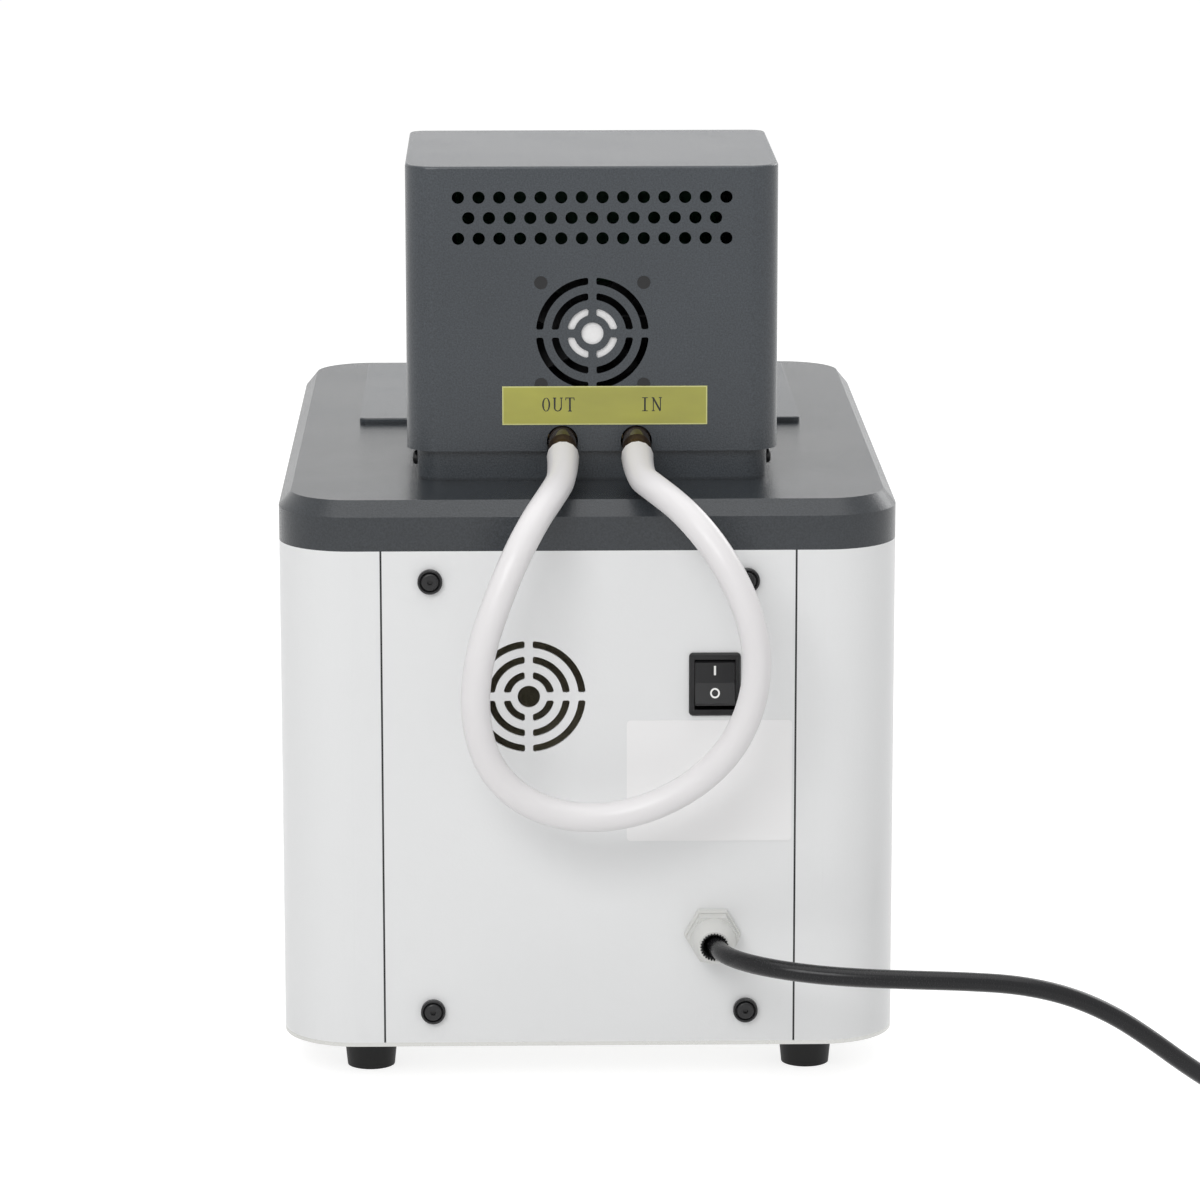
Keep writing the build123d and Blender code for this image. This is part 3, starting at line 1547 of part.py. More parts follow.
cap_start = gland_hex_height + slip_gap
with BuildPart() as gland_cap:
    with BuildSketch(gland_plane.offset(cap_start)):
        RegularPolygon(cap_hex / 2, 6, major_radius=False)
    extrude(amount=gland_neck_end - cap_start)
    with BuildSketch(Plane(origin=gland_plane.origin, x_dir=(0, 1, 0), z_dir=(1, 0, 0))):
        with BuildLine():
            Polyline(
                (gland_neck_end, cap_hex / 2 - 0.2),
                (gland_neck_end, 0),
                (cap_end, 0),
                (cap_end, cap_mouth + cap_wall),
            )
            ThreePointArc(
                (cap_end, cap_mouth + cap_wall),
                ((gland_neck_end + cap_end) / 2 + 1.5, cap_mouth + cap_wall + 2.2),
                (gland_neck_end, cap_hex / 2 - 0.2),
            )
        make_face()
    revolve(axis=Axis(gland_plane.origin, (0, 1, 0)))
    with BuildSketch(gland_plane.offset(cap_start)):
        Circle(gland_neck_radius + screw_gap)
    extrude(amount=gland_neck_end - cap_start + slip_gap, mode=Mode.SUBTRACT)
    with BuildSketch(gland_plane.offset(cap_start)):
        Circle(cap_mouth)
    extrude(amount=cap_end, mode=Mode.SUBTRACT)
gland_cap.part.label = "gland_cap"
export_step(gland_cap.part, "parts/gland_cap.step")

seal_start = gland_neck_end + 1
seal_end = cap_end - 0.5
with BuildPart() as gland_seal:
    with BuildSketch(Plane(origin=gland_plane.origin, x_dir=(0, 1, 0), z_dir=(1, 0, 0))):
        with BuildLine():
            Polyline(
                (seal_start, cord_diameter / 2 + cord_gap),
                (seal_start, cap_mouth - screw_gap),
                (seal_end, cap_mouth - screw_gap),
                (seal_end, seal_mouth),
                (seal_start + 4, cord_diameter / 2 + cord_gap),
                close=True,
            )
        make_face()
    revolve(axis=Axis(gland_plane.origin, (0, 1, 0)))
    with BuildSketch(gland_plane.offset(seal_end)):
        with PolarLocations(cap_mouth, seal_notches):
            Rectangle(2, 1.2)
    extrude(amount=-seal_notch_depth, mode=Mode.SUBTRACT)
gland_seal.part.label = "gland_seal"
export_step(gland_seal.part, "parts/gland_seal.step")

# Mains lead, in points as seen from behind, from the gland to the start of its coil
coil_outer_turn = coil_mid_radius + cord_diameter / 2
lead_in_behind = coil_setback - coil_outer_turn
cord_stops = [
    from_rear(gland_side, -5, gland_height),
    from_rear(gland_side, -28, gland_height),
    from_rear(67.5, -50, 77.6),
    from_rear(82.5, -66, 77.8),
    from_rear(103, -74.5, 76.8),
    from_rear(126, -77.5, 75.6),
    from_rear(151, -78, 74.6),
    from_rear(177, -77.5, 73.6),
    from_rear(203, -76.5, 71.5),
    from_rear(227, -75, 65.5),
    from_rear(248.5, -72, 55),
    from_rear(267, -67.5, 41.5),
    from_rear(284, -61.5, 27.5),
    from_rear(301, -53.5, 14.5),
    from_rear(317, -48, 8),
    from_rear(333, lead_in_behind, cord_diameter / 2),
    from_rear(coil_side - coil_lead_in, lead_in_behind, cord_diameter / 2),
]
with BuildPart() as mains_cord:
    add(tube("mains_cord", cord_stops, route_radii(cord_stops), cord_diameter / 2, 0))
mains_cord.part.label = "mains_cord"
export_step(mains_cord.part, "parts/mains_cord.step")

# Rest of the lead as one flat ring of turns, with its two straight ends
coil_size = coil_layers * cord_diameter
coil_axis_point = from_rear(coil_side, coil_setback, 0)
lead_out_height = 1.5 * cord_diameter
with BuildPart() as cord_coil:
    with BuildSketch(Plane(origin=coil_axis_point, x_dir=(1, 0, 0), z_dir=(0, -1, 0))):
        with Locations((coil_mid_radius, coil_size / 2)):
            RectangleRounded(coil_size, coil_size, coil_corner)
    revolve(axis=Axis(coil_axis_point, (0, 0, 1)))
    with BuildSketch(Plane(origin=cord_stops[-1], z_dir=(-1, 0, 0))):
        Circle(cord_diameter / 2 - cord_gap)
    extrude(amount=coil_lead_in)
    lead_out_start = from_rear(coil_side + coil_outer_turn, coil_setback, lead_out_height)
    with BuildSketch(Plane(origin=lead_out_start, z_dir=(0, -1, 0))):
        Circle(cord_diameter / 2 - cord_gap)
    extrude(amount=coil_lead_out)
cord_coil.part.label = "cord_coil"
export_step(cord_coil.part, "parts/cord_coil.step")

# Moulded plug lying on its lower face, with two flat blades and a round pin
plug_plane = Plane(
    origin=from_rear(coil_side + coil_outer_turn, coil_setback + coil_lead_out, plug_height / 2),
    x_dir=(1, 0, 0),
    z_dir=(0, -1, 0),
)
plug_front = plug_plane.offset(plug_boot_length + plug_length)
with BuildPart() as mains_plug:
    with BuildSketch(plug_plane.offset(plug_boot_length)):
        RectangleRounded(plug_width, plug_height, plug_corner)
    extrude(amount=plug_length)
    chamfer(mains_plug.faces().sort_by(Axis.Y)[-1].edges(), 3)
    fillet(mains_plug.faces().sort_by(Axis.Y)[0].edges(), 1)
    with BuildSketch(plug_plane):
        Circle(cord_diameter / 2 + 0.7)
    with BuildSketch(plug_plane.offset(plug_boot_length)):
        Circle(plug_boot_radius)
    loft()
mains_plug.part.label = "mains_plug"
export_step(mains_plug.part, "parts/mains_plug.step")

with BuildPart() as plug_blades:
    with BuildSketch(plug_front):
        with Locations((0, plug_blade_rise)):
            with GridLocations(plug_blade_spacing, 1, 2, 1):
                Rectangle(plug_blade_thickness, plug_blade_width)
        with Locations((0, plug_blade_rise - plug_pin_drop)):
            Circle(plug_pin_radius)
    extrude(amount=plug_blade_length)
plug_blades.part.label = "plug_blades"
export_step(plug_blades.part, "parts/plug_blades.step")

# Loop of limp silicone hose from one nozzle to the other, in points as seen from behind
hose_stops = [
    nozzle_point(nozzle_sides[0], nozzle_reach - nozzle_barb_length),
    nozzle_point(nozzle_sides[0], 2 * (nozzle_reach - nozzle_barb_length) + 6),
    from_rear(-17.5, -14, 297),
    from_rear(-26, -32, 288),
    from_rear(-35.5, -44, 272),
    from_rear(-44.5, -50, 251),
    from_rear(-52, -52, 228.5),
    from_rear(-55, -51, 206),
    from_rear(-53, -48, 185),
    from_rear(-45.5, -44, 167),
    from_rear(-31.5, -41, 153),
    from_rear(-11.5, -39, 145),
    from_rear(11, -38, 144.5),
    from_rear(33, -39, 151),
    from_rear(52.5, -41, 163),
    from_rear(67.5, -44, 179.5),
    from_rear(76.5, -47, 200),
    from_rear(79.5, -50, 222),
    from_rear(76, -51, 243.5),
    from_rear(67.5, -48, 263.5),
    from_rear(56.5, -41, 280),
    from_rear(44, -29.5, 292.5),
    from_rear(31.5, -12, 299.5),
    nozzle_point(nozzle_sides[1], 2 * (nozzle_reach - nozzle_barb_length) + 6),
    nozzle_point(nozzle_sides[1], nozzle_reach - nozzle_barb_length),
]
with BuildPart() as circulation_hose:
    hose_bends = route_radii(hose_stops)
    add(tube("circulation_hose", hose_stops, hose_bends, hose_diameter / 2, hose_bore_radius))
circulation_hose.part.label = "circulation_hose"
export_step(circulation_hose.part, "parts/circulation_hose.step")

# Metal label above the nozzles and a bare label place on the rear panel
with BuildPart() as port_label:
    with BuildSketch(head_plane):
        with Locations((port_label_side, fan_height - port_label_drop)):
            Rectangle(port_label_width, port_label_height)
    extrude(amount=label_thickness)
port_label.part.label = "port_label"
export_step(port_label.part, "parts/port_label.step")

with BuildPart() as rating_label:
    with BuildSketch(rear_plane):
        with Locations((rating_label_side, rating_label_centre)):
            RectangleRounded(rating_label_width, rating_label_height, 2)
    extrude(amount=label_thickness)
rating_label.part.label = "rating_label"
export_step(rating_label.part, "parts/rating_label.step")

# Finned heat sink on the pan behind the rear panel, with the relay on its back
heat_sink_y = rear_y - heat_sink_setback
fin_pitch = (heat_sink_width - heat_sink_fin) / (heat_sink_fins - 1)
with BuildPart() as heat_sink:
    with BuildSketch(level(pan_top)):
        with Locations((-heat_sink_side, heat_sink_y - heat_sink_depth + heat_sink_base / 2)):
            Rectangle(heat_sink_width, heat_sink_base)
        with Locations((-heat_sink_side, heat_sink_y - heat_sink_depth / 2)):
            with GridLocations(fin_pitch, 1, heat_sink_fins, 1):
                Rectangle(heat_sink_fin, heat_sink_depth)
    extrude(amount=heat_sink_height)
heat_sink.part.label = "heat_sink"
export_step(heat_sink.part, "parts/heat_sink.step")

with BuildPart() as relay:
    with BuildSketch(level(pan_top + (heat_sink_height - relay_height) / 2)):
        with Locations((-heat_sink_side, heat_sink_y - heat_sink_depth - relay_thickness / 2)):
            Rectangle(relay_width, relay_thickness)
    extrude(amount=relay_height)
    fillet(relay.edges().filter_by(Axis.Z), 1.5)
relay.part.label = "relay"
export_step(relay.part, "parts/relay.step")
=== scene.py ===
import json
import math

import bmesh
import bpy
from mathutils import Matrix, Vector


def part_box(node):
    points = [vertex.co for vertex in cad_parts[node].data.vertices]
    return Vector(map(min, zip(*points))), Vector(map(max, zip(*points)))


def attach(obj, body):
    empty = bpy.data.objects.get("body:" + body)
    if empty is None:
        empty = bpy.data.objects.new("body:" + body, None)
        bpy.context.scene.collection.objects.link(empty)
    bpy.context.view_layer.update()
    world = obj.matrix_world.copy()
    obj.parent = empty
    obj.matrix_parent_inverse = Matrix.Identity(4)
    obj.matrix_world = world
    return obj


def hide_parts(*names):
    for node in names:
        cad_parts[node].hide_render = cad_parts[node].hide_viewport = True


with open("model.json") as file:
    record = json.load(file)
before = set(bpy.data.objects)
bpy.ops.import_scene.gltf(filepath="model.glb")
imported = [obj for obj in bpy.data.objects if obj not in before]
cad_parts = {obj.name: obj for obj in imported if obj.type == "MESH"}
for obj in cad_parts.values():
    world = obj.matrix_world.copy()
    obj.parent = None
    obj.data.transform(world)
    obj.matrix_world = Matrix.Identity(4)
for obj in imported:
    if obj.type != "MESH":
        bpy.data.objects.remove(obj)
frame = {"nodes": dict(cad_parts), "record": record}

bpy.context.scene.view_settings.view_transform = "Standard"
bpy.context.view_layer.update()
nodes = frame["nodes"]

# Where the things that this file adds to are, read from the CAD boxes
_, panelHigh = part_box("rear_panel")
rearY = panelHigh.y
headLow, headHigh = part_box("head_cover")
headX = (headLow.x + headHigh.x) / 2
headRear = headHigh.y
_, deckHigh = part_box("top_deck")
portLow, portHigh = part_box("port_label")


def fromRear(right, behind, height):
    # a point in millimetres as seen from behind: right, in from the rear panel, up
    return Vector((-right / 1000, rearY - behind / 1000, height / 1000))


def linked(name, data):
    # an object at the origin, in the scene
    piece = bpy.data.objects.new(name, data)
    bpy.context.scene.collection.objects.link(piece)
    return piece


def closed(name, mesh):
    # a shell made in mesh code, its faces turned outwards
    bmesh.ops.recalc_face_normals(mesh, faces=mesh.faces)
    data = bpy.data.meshes.new(name)
    mesh.to_mesh(data)
    mesh.free()
    return linked(name, data)


# Shader sockets that take plain sums, and one way to add any other node
class Wire:
    def __init__(self, finish, socket):
        self.finish = finish
        self.socket = socket

    def sum(self, operation, first, second):
        return self.finish.node("ShaderNodeMath", {"operation": operation}, {0: first, 1: second})

    def __add__(self, other):
        return self.sum("ADD", self, other)

    def __radd__(self, other):
        return self.sum("ADD", other, self)

    def __sub__(self, other):
        return self.sum("SUBTRACT", self, other)

    def __rsub__(self, other):
        return self.sum("SUBTRACT", other, self)

    def __mul__(self, other):
        return self.sum("MULTIPLY", self, other)

    def __rmul__(self, other):
        return self.sum("MULTIPLY", other, self)

    def __abs__(self):
        return self.finish.node("ShaderNodeMath", {"operation": "ABSOLUTE"}, {0: self})


class Finish:
    def __init__(self, name, **sockets):
        self.material = bpy.data.materials.new(name)
        self.material.use_nodes = True
        self.tree = self.material.node_tree
        self.shader = self.tree.nodes["Principled BSDF"]
        for socket, value in sockets.items():
            self.set(socket, value)

    def set(self, socket, value):
        # spaces in a socket's name are written as double underscores
        target = self.shader.inputs[socket.replace("__", " ")]
        if isinstance(value, Wire):
            self.tree.links.new(value.socket, target)
        elif isinstance(value, tuple):
            target.default_value = (*value, 1.0)
        else:
            target.default_value = value

    def node(self, kind, settings, inputs, output=0):
        made = self.tree.nodes.new(kind)
        for key, value in settings.items():
            setattr(made, key, value)
        for key, value in inputs.items():
            if isinstance(value, Wire):
                self.tree.links.new(value.socket, made.inputs[key])
            elif isinstance(value, tuple) and made.inputs[key].type == "RGBA":
                made.inputs[key].default_value = (*value, 1.0)
            else:
                made.inputs[key].default_value = value
        return Wire(self, made.outputs[output])

    def place(self):
        return self.node("ShaderNodeTexCoord", {}, {}, "Object")

    def split(self, vector):
        made = self.tree.nodes.new("ShaderNodeSeparateXYZ")
        self.tree.links.new(vector.socket, made.inputs[0])
        return [Wire(self, socket) for socket in made.outputs]

    def noise(self, scale, detail=3.0, rough=0.5, stretch=(1, 1, 1)):
        where = self.node("ShaderNodeMapping", {}, {"Vector": self.place(), "Scale": stretch})
        return self.node(
            "ShaderNodeTexNoise", {},
            {"Vector": where, "Scale": scale, "Detail": detail, "Roughness": rough},
        )

    def between(self, factor, low, high):
        return self.node(
            "ShaderNodeMix", {"data_type": "RGBA"}, {"Factor": factor, 6: low, 7: high}, 2
        )

    def spread(self, value, low, high, fromLow=0.35, fromHigh=0.65):
        return self.node(
            "ShaderNodeMapRange", {}, {0: value, 1: fromLow, 2: fromHigh, 3: low, 4: high}
        )

    def within(self, value, edge, soft):
        # 1 up to the edge, falling to 0 over the soft width past it
        return self.spread(value, 1.0, 0.0, edge, edge + soft)

    def bump(self, height, strength, distance):
        return self.node(
            "ShaderNodeBump", {}, {"Height": height, "Strength": strength, "Distance": distance}
        )


def shade(colour, amount):
    return tuple(channel * amount for channel in colour)


def insideBox(made, middle, halves, soft):
    # 1 inside a box on the object's own coordinates, 0 outside; no half size means no bound
    parts = made.split(made.place())
    mask = None
    for part, centre, reach in zip(parts, middle, halves):
        if reach is None:
            continue
        inside = made.within(abs(part - centre), reach, soft)
        mask = inside if mask is None else mask * inside
    return mask


def powderCoat(name, colour, grain, strength, rough, tint=0.12, gloss=0.5, below=None):
    # speckled, finely pebbled paint
    coat = {"fine": 0.85, "broad": 0.15, "darker": 0.6, "soft": 0.001, "sheen": 0.012, "relief": 0.35}
    made = Finish(name, Specular__IOR__Level=gloss)
    fine = made.noise(scale=1 / grain, detail=4.0, rough=0.6)
    broad = made.noise(scale=14.0, detail=2.0)
    mix = made.spread(fine, 0.0, 1.0) * coat["fine"] + made.spread(broad, 0.0, 1.0) * coat["broad"]
    speckle = made.between(mix, shade(colour, 1 - tint), shade(colour, 1 + tint))
    if below:
        # below this height the colour is a shade darker
        under = made.within(made.split(made.place())[2], below, coat["soft"])
        dark, pale = [shade(colour, coat["darker"] * amount) for amount in (1 - tint, 1 + tint)]
        speckle = made.between(under, speckle, made.between(mix, dark, pale))
    made.set("Base__Color", speckle)
    made.set("Roughness", made.spread(broad, rough - coat["sheen"], rough + coat["sheen"]))
    made.set("Normal", made.bump(fine, strength, grain * coat["relief"]))
    return made.material


def casePaint(name, colour, seamShade):
    # satin white paint, with painted shade along the gaps beside the rear panel
    coat = {"grain": 0.0016, "dark": 0.988, "pale": 1.006, "gloss": (0.30, 0.36), "relief": 0.0005}
    made = Finish(name)
    fine = made.noise(scale=1 / coat["grain"], detail=4.0, rough=0.6)
    broad = made.noise(scale=9.0, detail=2.0)
    plain = made.between(
        made.spread(broad, 0.0, 1.0), shade(colour, coat["dark"]), shade(colour, coat["pale"])
    )
    across, along = made.split(made.place())[:2]
    # a thin near-black line of painted shade along each gap beside the rear panel
    line = made.within(abs(abs(across) - seamShade["place"]), seamShade["half"], seamShade["soft"])
    # only on the rear half, where the object's y is above 0
    line = line * made.node("ShaderNodeMath", {"operation": "GREATER_THAN"}, {0: along, 1: 0.0})
    made.set("Base__Color", made.between(line, plain, seamShade["colour"]))
    made.set("Roughness", made.spread(broad, *coat["gloss"]))
    made.set("Normal", made.bump(fine, strength=0.10, distance=coat["relief"]))
    return made.material


def portLabel(name, colour, rim, middle, halves):
    # glossy foil with a paler cut edge and a faint crease
    film = {"dark": 0.92, "pale": 1.08, "soft": 0.0001, "gloss": (0.14, 0.26)}
    made = Finish(name)
    cloud = made.noise(scale=26.0, detail=2.0, stretch=(1, 1, 2.5))
    foil = made.between(
        made.spread(cloud, 0.0, 1.0), shade(colour, film["dark"]), shade(colour, film["pale"])
    )
    inner = insideBox(made, middle, halves, film["soft"])
    made.set("Base__Color", made.between(inner, rim, foil))
    made.set("Roughness", made.spread(cloud, *film["gloss"]))
    crease = made.noise(scale=60.0, detail=2.0)
    made.set("Normal", made.bump(crease, strength=0.12, distance=0.0008))
    return made.material


def brushedMetal(name, colour, rough, stretch):
    grind = {"tint": 0.07, "gloss": 0.06, "cloud": 0.12}
    made = Finish(name, Metallic=1.0)
    lines = made.noise(scale=900.0, detail=3.0, rough=0.6, stretch=stretch)
    cloud = made.noise(scale=22.0, detail=2.0)
    dark, pale = shade(colour, 1 - grind["tint"]), shade(colour, 1 + grind["tint"])
    made.set("Base__Color", made.between(lines, dark, pale))
    gloss = made.spread(lines, rough - grind["gloss"], rough + grind["gloss"])
    made.set("Roughness", gloss + (cloud - 0.5) * grind["cloud"])
    made.set("Normal", made.bump(lines, strength=0.12, distance=0.0001))
    return made.material


def mouldedPlastic(name, colour, rough, grain=0.0006, strength=0.12, gloss=0.5):
    mould = {"dark": 0.98, "pale": 1.02, "sheen": 0.05, "relief": 0.3}
    made = Finish(name, Specular__IOR__Level=gloss)
    fine = made.noise(scale=1 / grain, detail=3.0)
    broad = made.noise(scale=30.0, detail=2.0)
    made.set(
        "Base__Color",
        made.between(broad, shade(colour, mould["dark"]), shade(colour, mould["pale"])),
    )
    made.set("Roughness", made.spread(fine, rough - mould["sheen"], rough + mould["sheen"]))
    made.set("Normal", made.bump(fine, strength, grain * mould["relief"]))
    return made.material


# the painted shade along the rear panel's gaps: where it is, how wide, how soft and how dark
seamShade = {
    "place": panelHigh.x + 0.00025, "half": 0.00042, "soft": 0.0001, "colour": (0.012, 0.012, 0.014),
}
rimWidth = 0.0006
portHalf = (portHigh - portLow) / 2
finishes = {
    "deck_paint": powderCoat(
        "deckPaint", (0.040, 0.047, 0.055), grain=0.0008, strength=0.45, rough=0.24, tint=0.30,
        below=deckHigh.z + 0.0005,
    ),
    "case_paint": casePaint("casePaint", (0.745, 0.75, 0.752), seamShade),
    "black_metal": mouldedPlastic("blackMetal", (0.010, 0.010, 0.011), rough=0.34, gloss=0.4),
    "stainless": brushedMetal("stainless", (0.56, 0.56, 0.55), rough=0.28, stretch=(1, 1, 0.03)),
    "zinc_steel": brushedMetal("zincSteel", (0.58, 0.58, 0.56), rough=0.32, stretch=(1, 0.05, 1)),
    "motor_steel": powderCoat(
        "motorPaint", (0.06, 0.06, 0.065), grain=0.0008, strength=0.2, rough=0.4
    ),
    "aluminium": brushedMetal("aluminium", (0.66, 0.66, 0.67), rough=0.35, stretch=(1, 1, 0.05)),
    "brass": brushedMetal("brass", (0.72, 0.52, 0.20), rough=0.22, stretch=(1, 0.1, 1)),
    "copper": brushedMetal("copper", (0.70, 0.37, 0.24), rough=0.30, stretch=(1, 1, 0.1)),
    "black_rubber": mouldedPlastic(
        "footRubber", (0.011, 0.011, 0.011), rough=0.55, grain=0.0005, strength=0.3, gloss=0.3
    ),
    "sleeve_rubber": mouldedPlastic("sleeveRubber", (0.030, 0.022, 0.018), rough=0.16),
    "silicone": mouldedPlastic(
        "silicone", (0.73, 0.715, 0.72), rough=0.34, grain=0.0012, strength=0.05
    ),
    "black_plastic": mouldedPlastic("blackPlastic", (0.012, 0.012, 0.013), rough=0.36, gloss=0.32),
    "gland_plastic": mouldedPlastic("glandPlastic", (0.62, 0.62, 0.60), rough=0.42),
    "key_plastic": mouldedPlastic("keyPlastic", (0.52, 0.53, 0.54), rough=0.45),
    "panel_film": mouldedPlastic("panelFilm", (0.035, 0.038, 0.044), rough=0.45),
    "window": mouldedPlastic(
        "window", (0.012, 0.013, 0.015), rough=0.08, grain=0.003, strength=0.01
    ),
    "board": mouldedPlastic("boardLacquer", (0.02, 0.13, 0.05), rough=0.35),
    "cord": mouldedPlastic(
        "cordJacket", (0.009, 0.009, 0.010), rough=0.24, grain=0.0008, strength=0.06, gloss=0.28
    ),
    "wool": mouldedPlastic(
        "mineralWool", (0.55, 0.50, 0.36), rough=0.9, grain=0.002, strength=0.8
    ),
    "port_metal": portLabel(
        "portLabel", (0.37, 0.36, 0.065), rim=(0.60, 0.60, 0.24), middle=(portLow + portHigh) / 2,
        halves=(portHalf.x - rimWidth, None, portHalf.z - rimWidth),
    ),
    "label_white": mouldedPlastic(
        "bareLabel", (0.82, 0.815, 0.815), rough=0.36, grain=0.003, strength=0.01
    ),
}
slotOf = {entry["node"]: entry["material_slot"] for entry in frame["record"]["subparts"]}
for name, node in nodes.items():
    node.data.materials.clear()
    node.data.materials.append(finishes[slotOf[name]])
print("finishes set on", len(nodes), "nodes")


def keep(piece, body, slotName):
    # every new piece rides on a body and takes a slot's finish, unless it has its own
    if not piece.data.materials:
        piece.data.materials.append(finishes[slotName])
    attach(piece, body)
    return piece


# The cords: the mains lead with its coil, and the hose loop
def spline(name, points, radius, ends=()):
    curve = bpy.data.curves.new(name, "CURVE")
    curve.dimensions = "3D"
    curve.bevel_depth = radius
    curve.bevel_resolution = 5
    curve.resolution_u = 6
    curve.use_fill_caps = True
    line = curve.splines.new("NURBS")
    line.points.add(len(points) - 1)
    for point, target in zip(points, line.points):
        target.co = (*point, 1.0)
    line.order_u = 3
    line.use_endpoint_u = True
    for index, swell in ends:
        line.points[index].radius = swell
    return linked(name, curve)


# millimetres as seen from behind; the coil's angles are in degrees from the start of its first turn
lead = {
    "radius": 0.0045,
    "route": [
        (60, -5, 77), (60, -28, 77), (67.5, -50, 77.6), (82.5, -66, 77.8), (103, -74.5, 76.8),
        (126, -77.5, 75.6), (151, -77.9, 74.6), (177, -77.5, 73.6), (203, -76.5, 71.5),
        (227, -75, 65.5), (248.5, -72, 55), (267, -67.5, 41.5), (284, -61.5, 27.5),
        (301, -53.5, 14.5), (317, -48, 8), (333, -44.5, 4.5), (350, -44.5, 4.5),
    ],
    "coilRight": 384, "coilBehind": 10, "outerTurn": 54.4, "innerTurn": 45.2,
    "lowLevel": 4.5, "highLevel": 13.6, "turnPoints": 24, "endAngle": 1170,
    "inwards": (290, 350), "upwards": (610, 668), "outwards": (815, 875),
    "leadOut": 33, "leadOutShares": (0.4, 0.75, 1.0),
}


def ease(value, low, high):
    share = min(max((value - low) / (high - low), 0), 1)
    return share * share * (3 - 2 * share)


def coilPoint(angle):
    # outer low turn, inner low turn, inner high turn, outer high turn
    inner = ease(angle, *lead["inwards"]) - ease(angle, *lead["outwards"])
    radius = lead["outerTurn"] + (lead["innerTurn"] - lead["outerTurn"]) * inner
    rise = ease(angle, *lead["upwards"])
    height = lead["lowLevel"] + (lead["highLevel"] - lead["lowLevel"]) * rise
    turn = math.radians(angle)
    return (
        lead["coilRight"] + radius * math.sin(turn),
        lead["coilBehind"] - radius * math.cos(turn),
        height,
    )


leadPoints = [fromRear(*point) for point in lead["route"]]
step = 360 / lead["turnPoints"]
for index in range(int(lead["endAngle"] / step) + 1):
    leadPoints.append(fromRear(*coilPoint(index * step)))
endRight, endBehind, endHeight = coilPoint(lead["endAngle"])
for share in lead["leadOutShares"]:
    leadPoints.append(fromRear(endRight, endBehind + share * lead["leadOut"], endHeight))
mainsLead = keep(spline("mainsLead", leadPoints, lead["radius"]), "housing", "cord")
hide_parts("mains_cord", "cord_coil")

# millimetres, the radius in metres; the swell is where an end is pushed over its nozzle
hose = {
    "radius": 0.007,
    "tilt": math.radians(12), "outSide": -14.7, "inSide": 21.4, "axisHeight": 311,
    "start": 20, "straight": 46, "swell": 1.12,
    "route": [
        (-17.5, -14, 297), (-26, -32, 288), (-35.5, -44, 272), (-44.5, -50, 251),
        (-52, -52, 228.5), (-55, -51, 206), (-53, -48, 185), (-45.5, -44, 167), (-31.5, -41, 153),
        (-11.5, -39, 145), (11, -38, 144.5), (33, -39, 151), (52.5, -41, 163), (67.5, -44, 179.5),
        (76.5, -47, 200), (79.5, -50, 222), (76, -51, 243.5), (67.5, -48, 263.5),
        (56.5, -41, 280), (44, -29.5, 292.5), (31.5, -12, 299.5),
    ],
}


def nozzlePoint(side, along):
    # on a nozzle's axis, this many millimetres out from the head's rear wall
    return Vector((
        headX - side / 1000,
        headRear + along / 1000 * math.cos(hose["tilt"]),
        hose["axisHeight"] / 1000 - along / 1000 * math.sin(hose["tilt"]),
    ))


hosePoints = [nozzlePoint(hose["outSide"], hose[along]) for along in ("start", "straight")]
hosePoints += [fromRear(*point) for point in hose["route"]]
hosePoints += [nozzlePoint(hose["inSide"], hose[along]) for along in ("straight", "start")]
loop = spline("hoseLoop", hosePoints, hose["radius"], [(0, hose["swell"]), (-1, hose["swell"])])
keep(loop, "housing", "silicone")
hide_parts("circulation_hose")
print("cords laid")


# Marks: thin shapes laid on a node's surface, seen from behind or from the front
def layOn(node, shapes, name, thickness, front=False):
    drop = {"from": 0.1, "lift": 1e-6}  # metres off the rear panel's plane, and each shape over the last
    side = 1 if front else -1
    mesh = bmesh.new()
    for order, shape in enumerate(shapes):
        bottom, top = [], []
        for right, height in shape:
            start = Vector((side * right / 1000, -side * (rearY + drop["from"]), height / 1000))
            hit, place, normal, _ = nodes[node].ray_cast(start, Vector((0, side, 0)))
            if not hit:
                raise ValueError(name + " misses " + node)
            bottom.append(mesh.verts.new(place - normal * thickness))
            top.append(mesh.verts.new(place + normal * (thickness + order * drop["lift"])))
        mesh.faces.new(top)
        mesh.faces.new(list(reversed(bottom)))
        for index in range(len(top)):
            after = (index + 1) % len(top)
            mesh.faces.new((bottom[index], bottom[after], top[after], top[index]))
    return closed(name, mesh)


def bar(first, last, width):
    # a straight stroke as a four-cornered shape
    along = (Vector(last) - Vector(first)).normalized()
    side = Vector((-along.y, along.x)) * width / 2
    return [Vector(first) + side, Vector(first) - side, Vector(last) - side, Vector(last) + side]


def ring(centre, outer, inner, start=0, end=360, pieces=32):
    # an oval band, in four-cornered shapes
    shapes = []
    for index in range(pieces):
        corners = []
        for share, oval in ((index, outer), (index + 1, outer), (index + 1, inner), (index, inner)):
            turn = math.radians(start + (end - start) * share / pieces)
            across, up = oval[0] * math.cos(turn), oval[1] * math.sin(turn)
            corners.append((centre[0] + across, centre[1] + up))
        shapes.append(corners)
    return shapes


def moved(shapes, right, height):
    return [[(right + x, height + z) for x, z in shape] for shape in shapes]


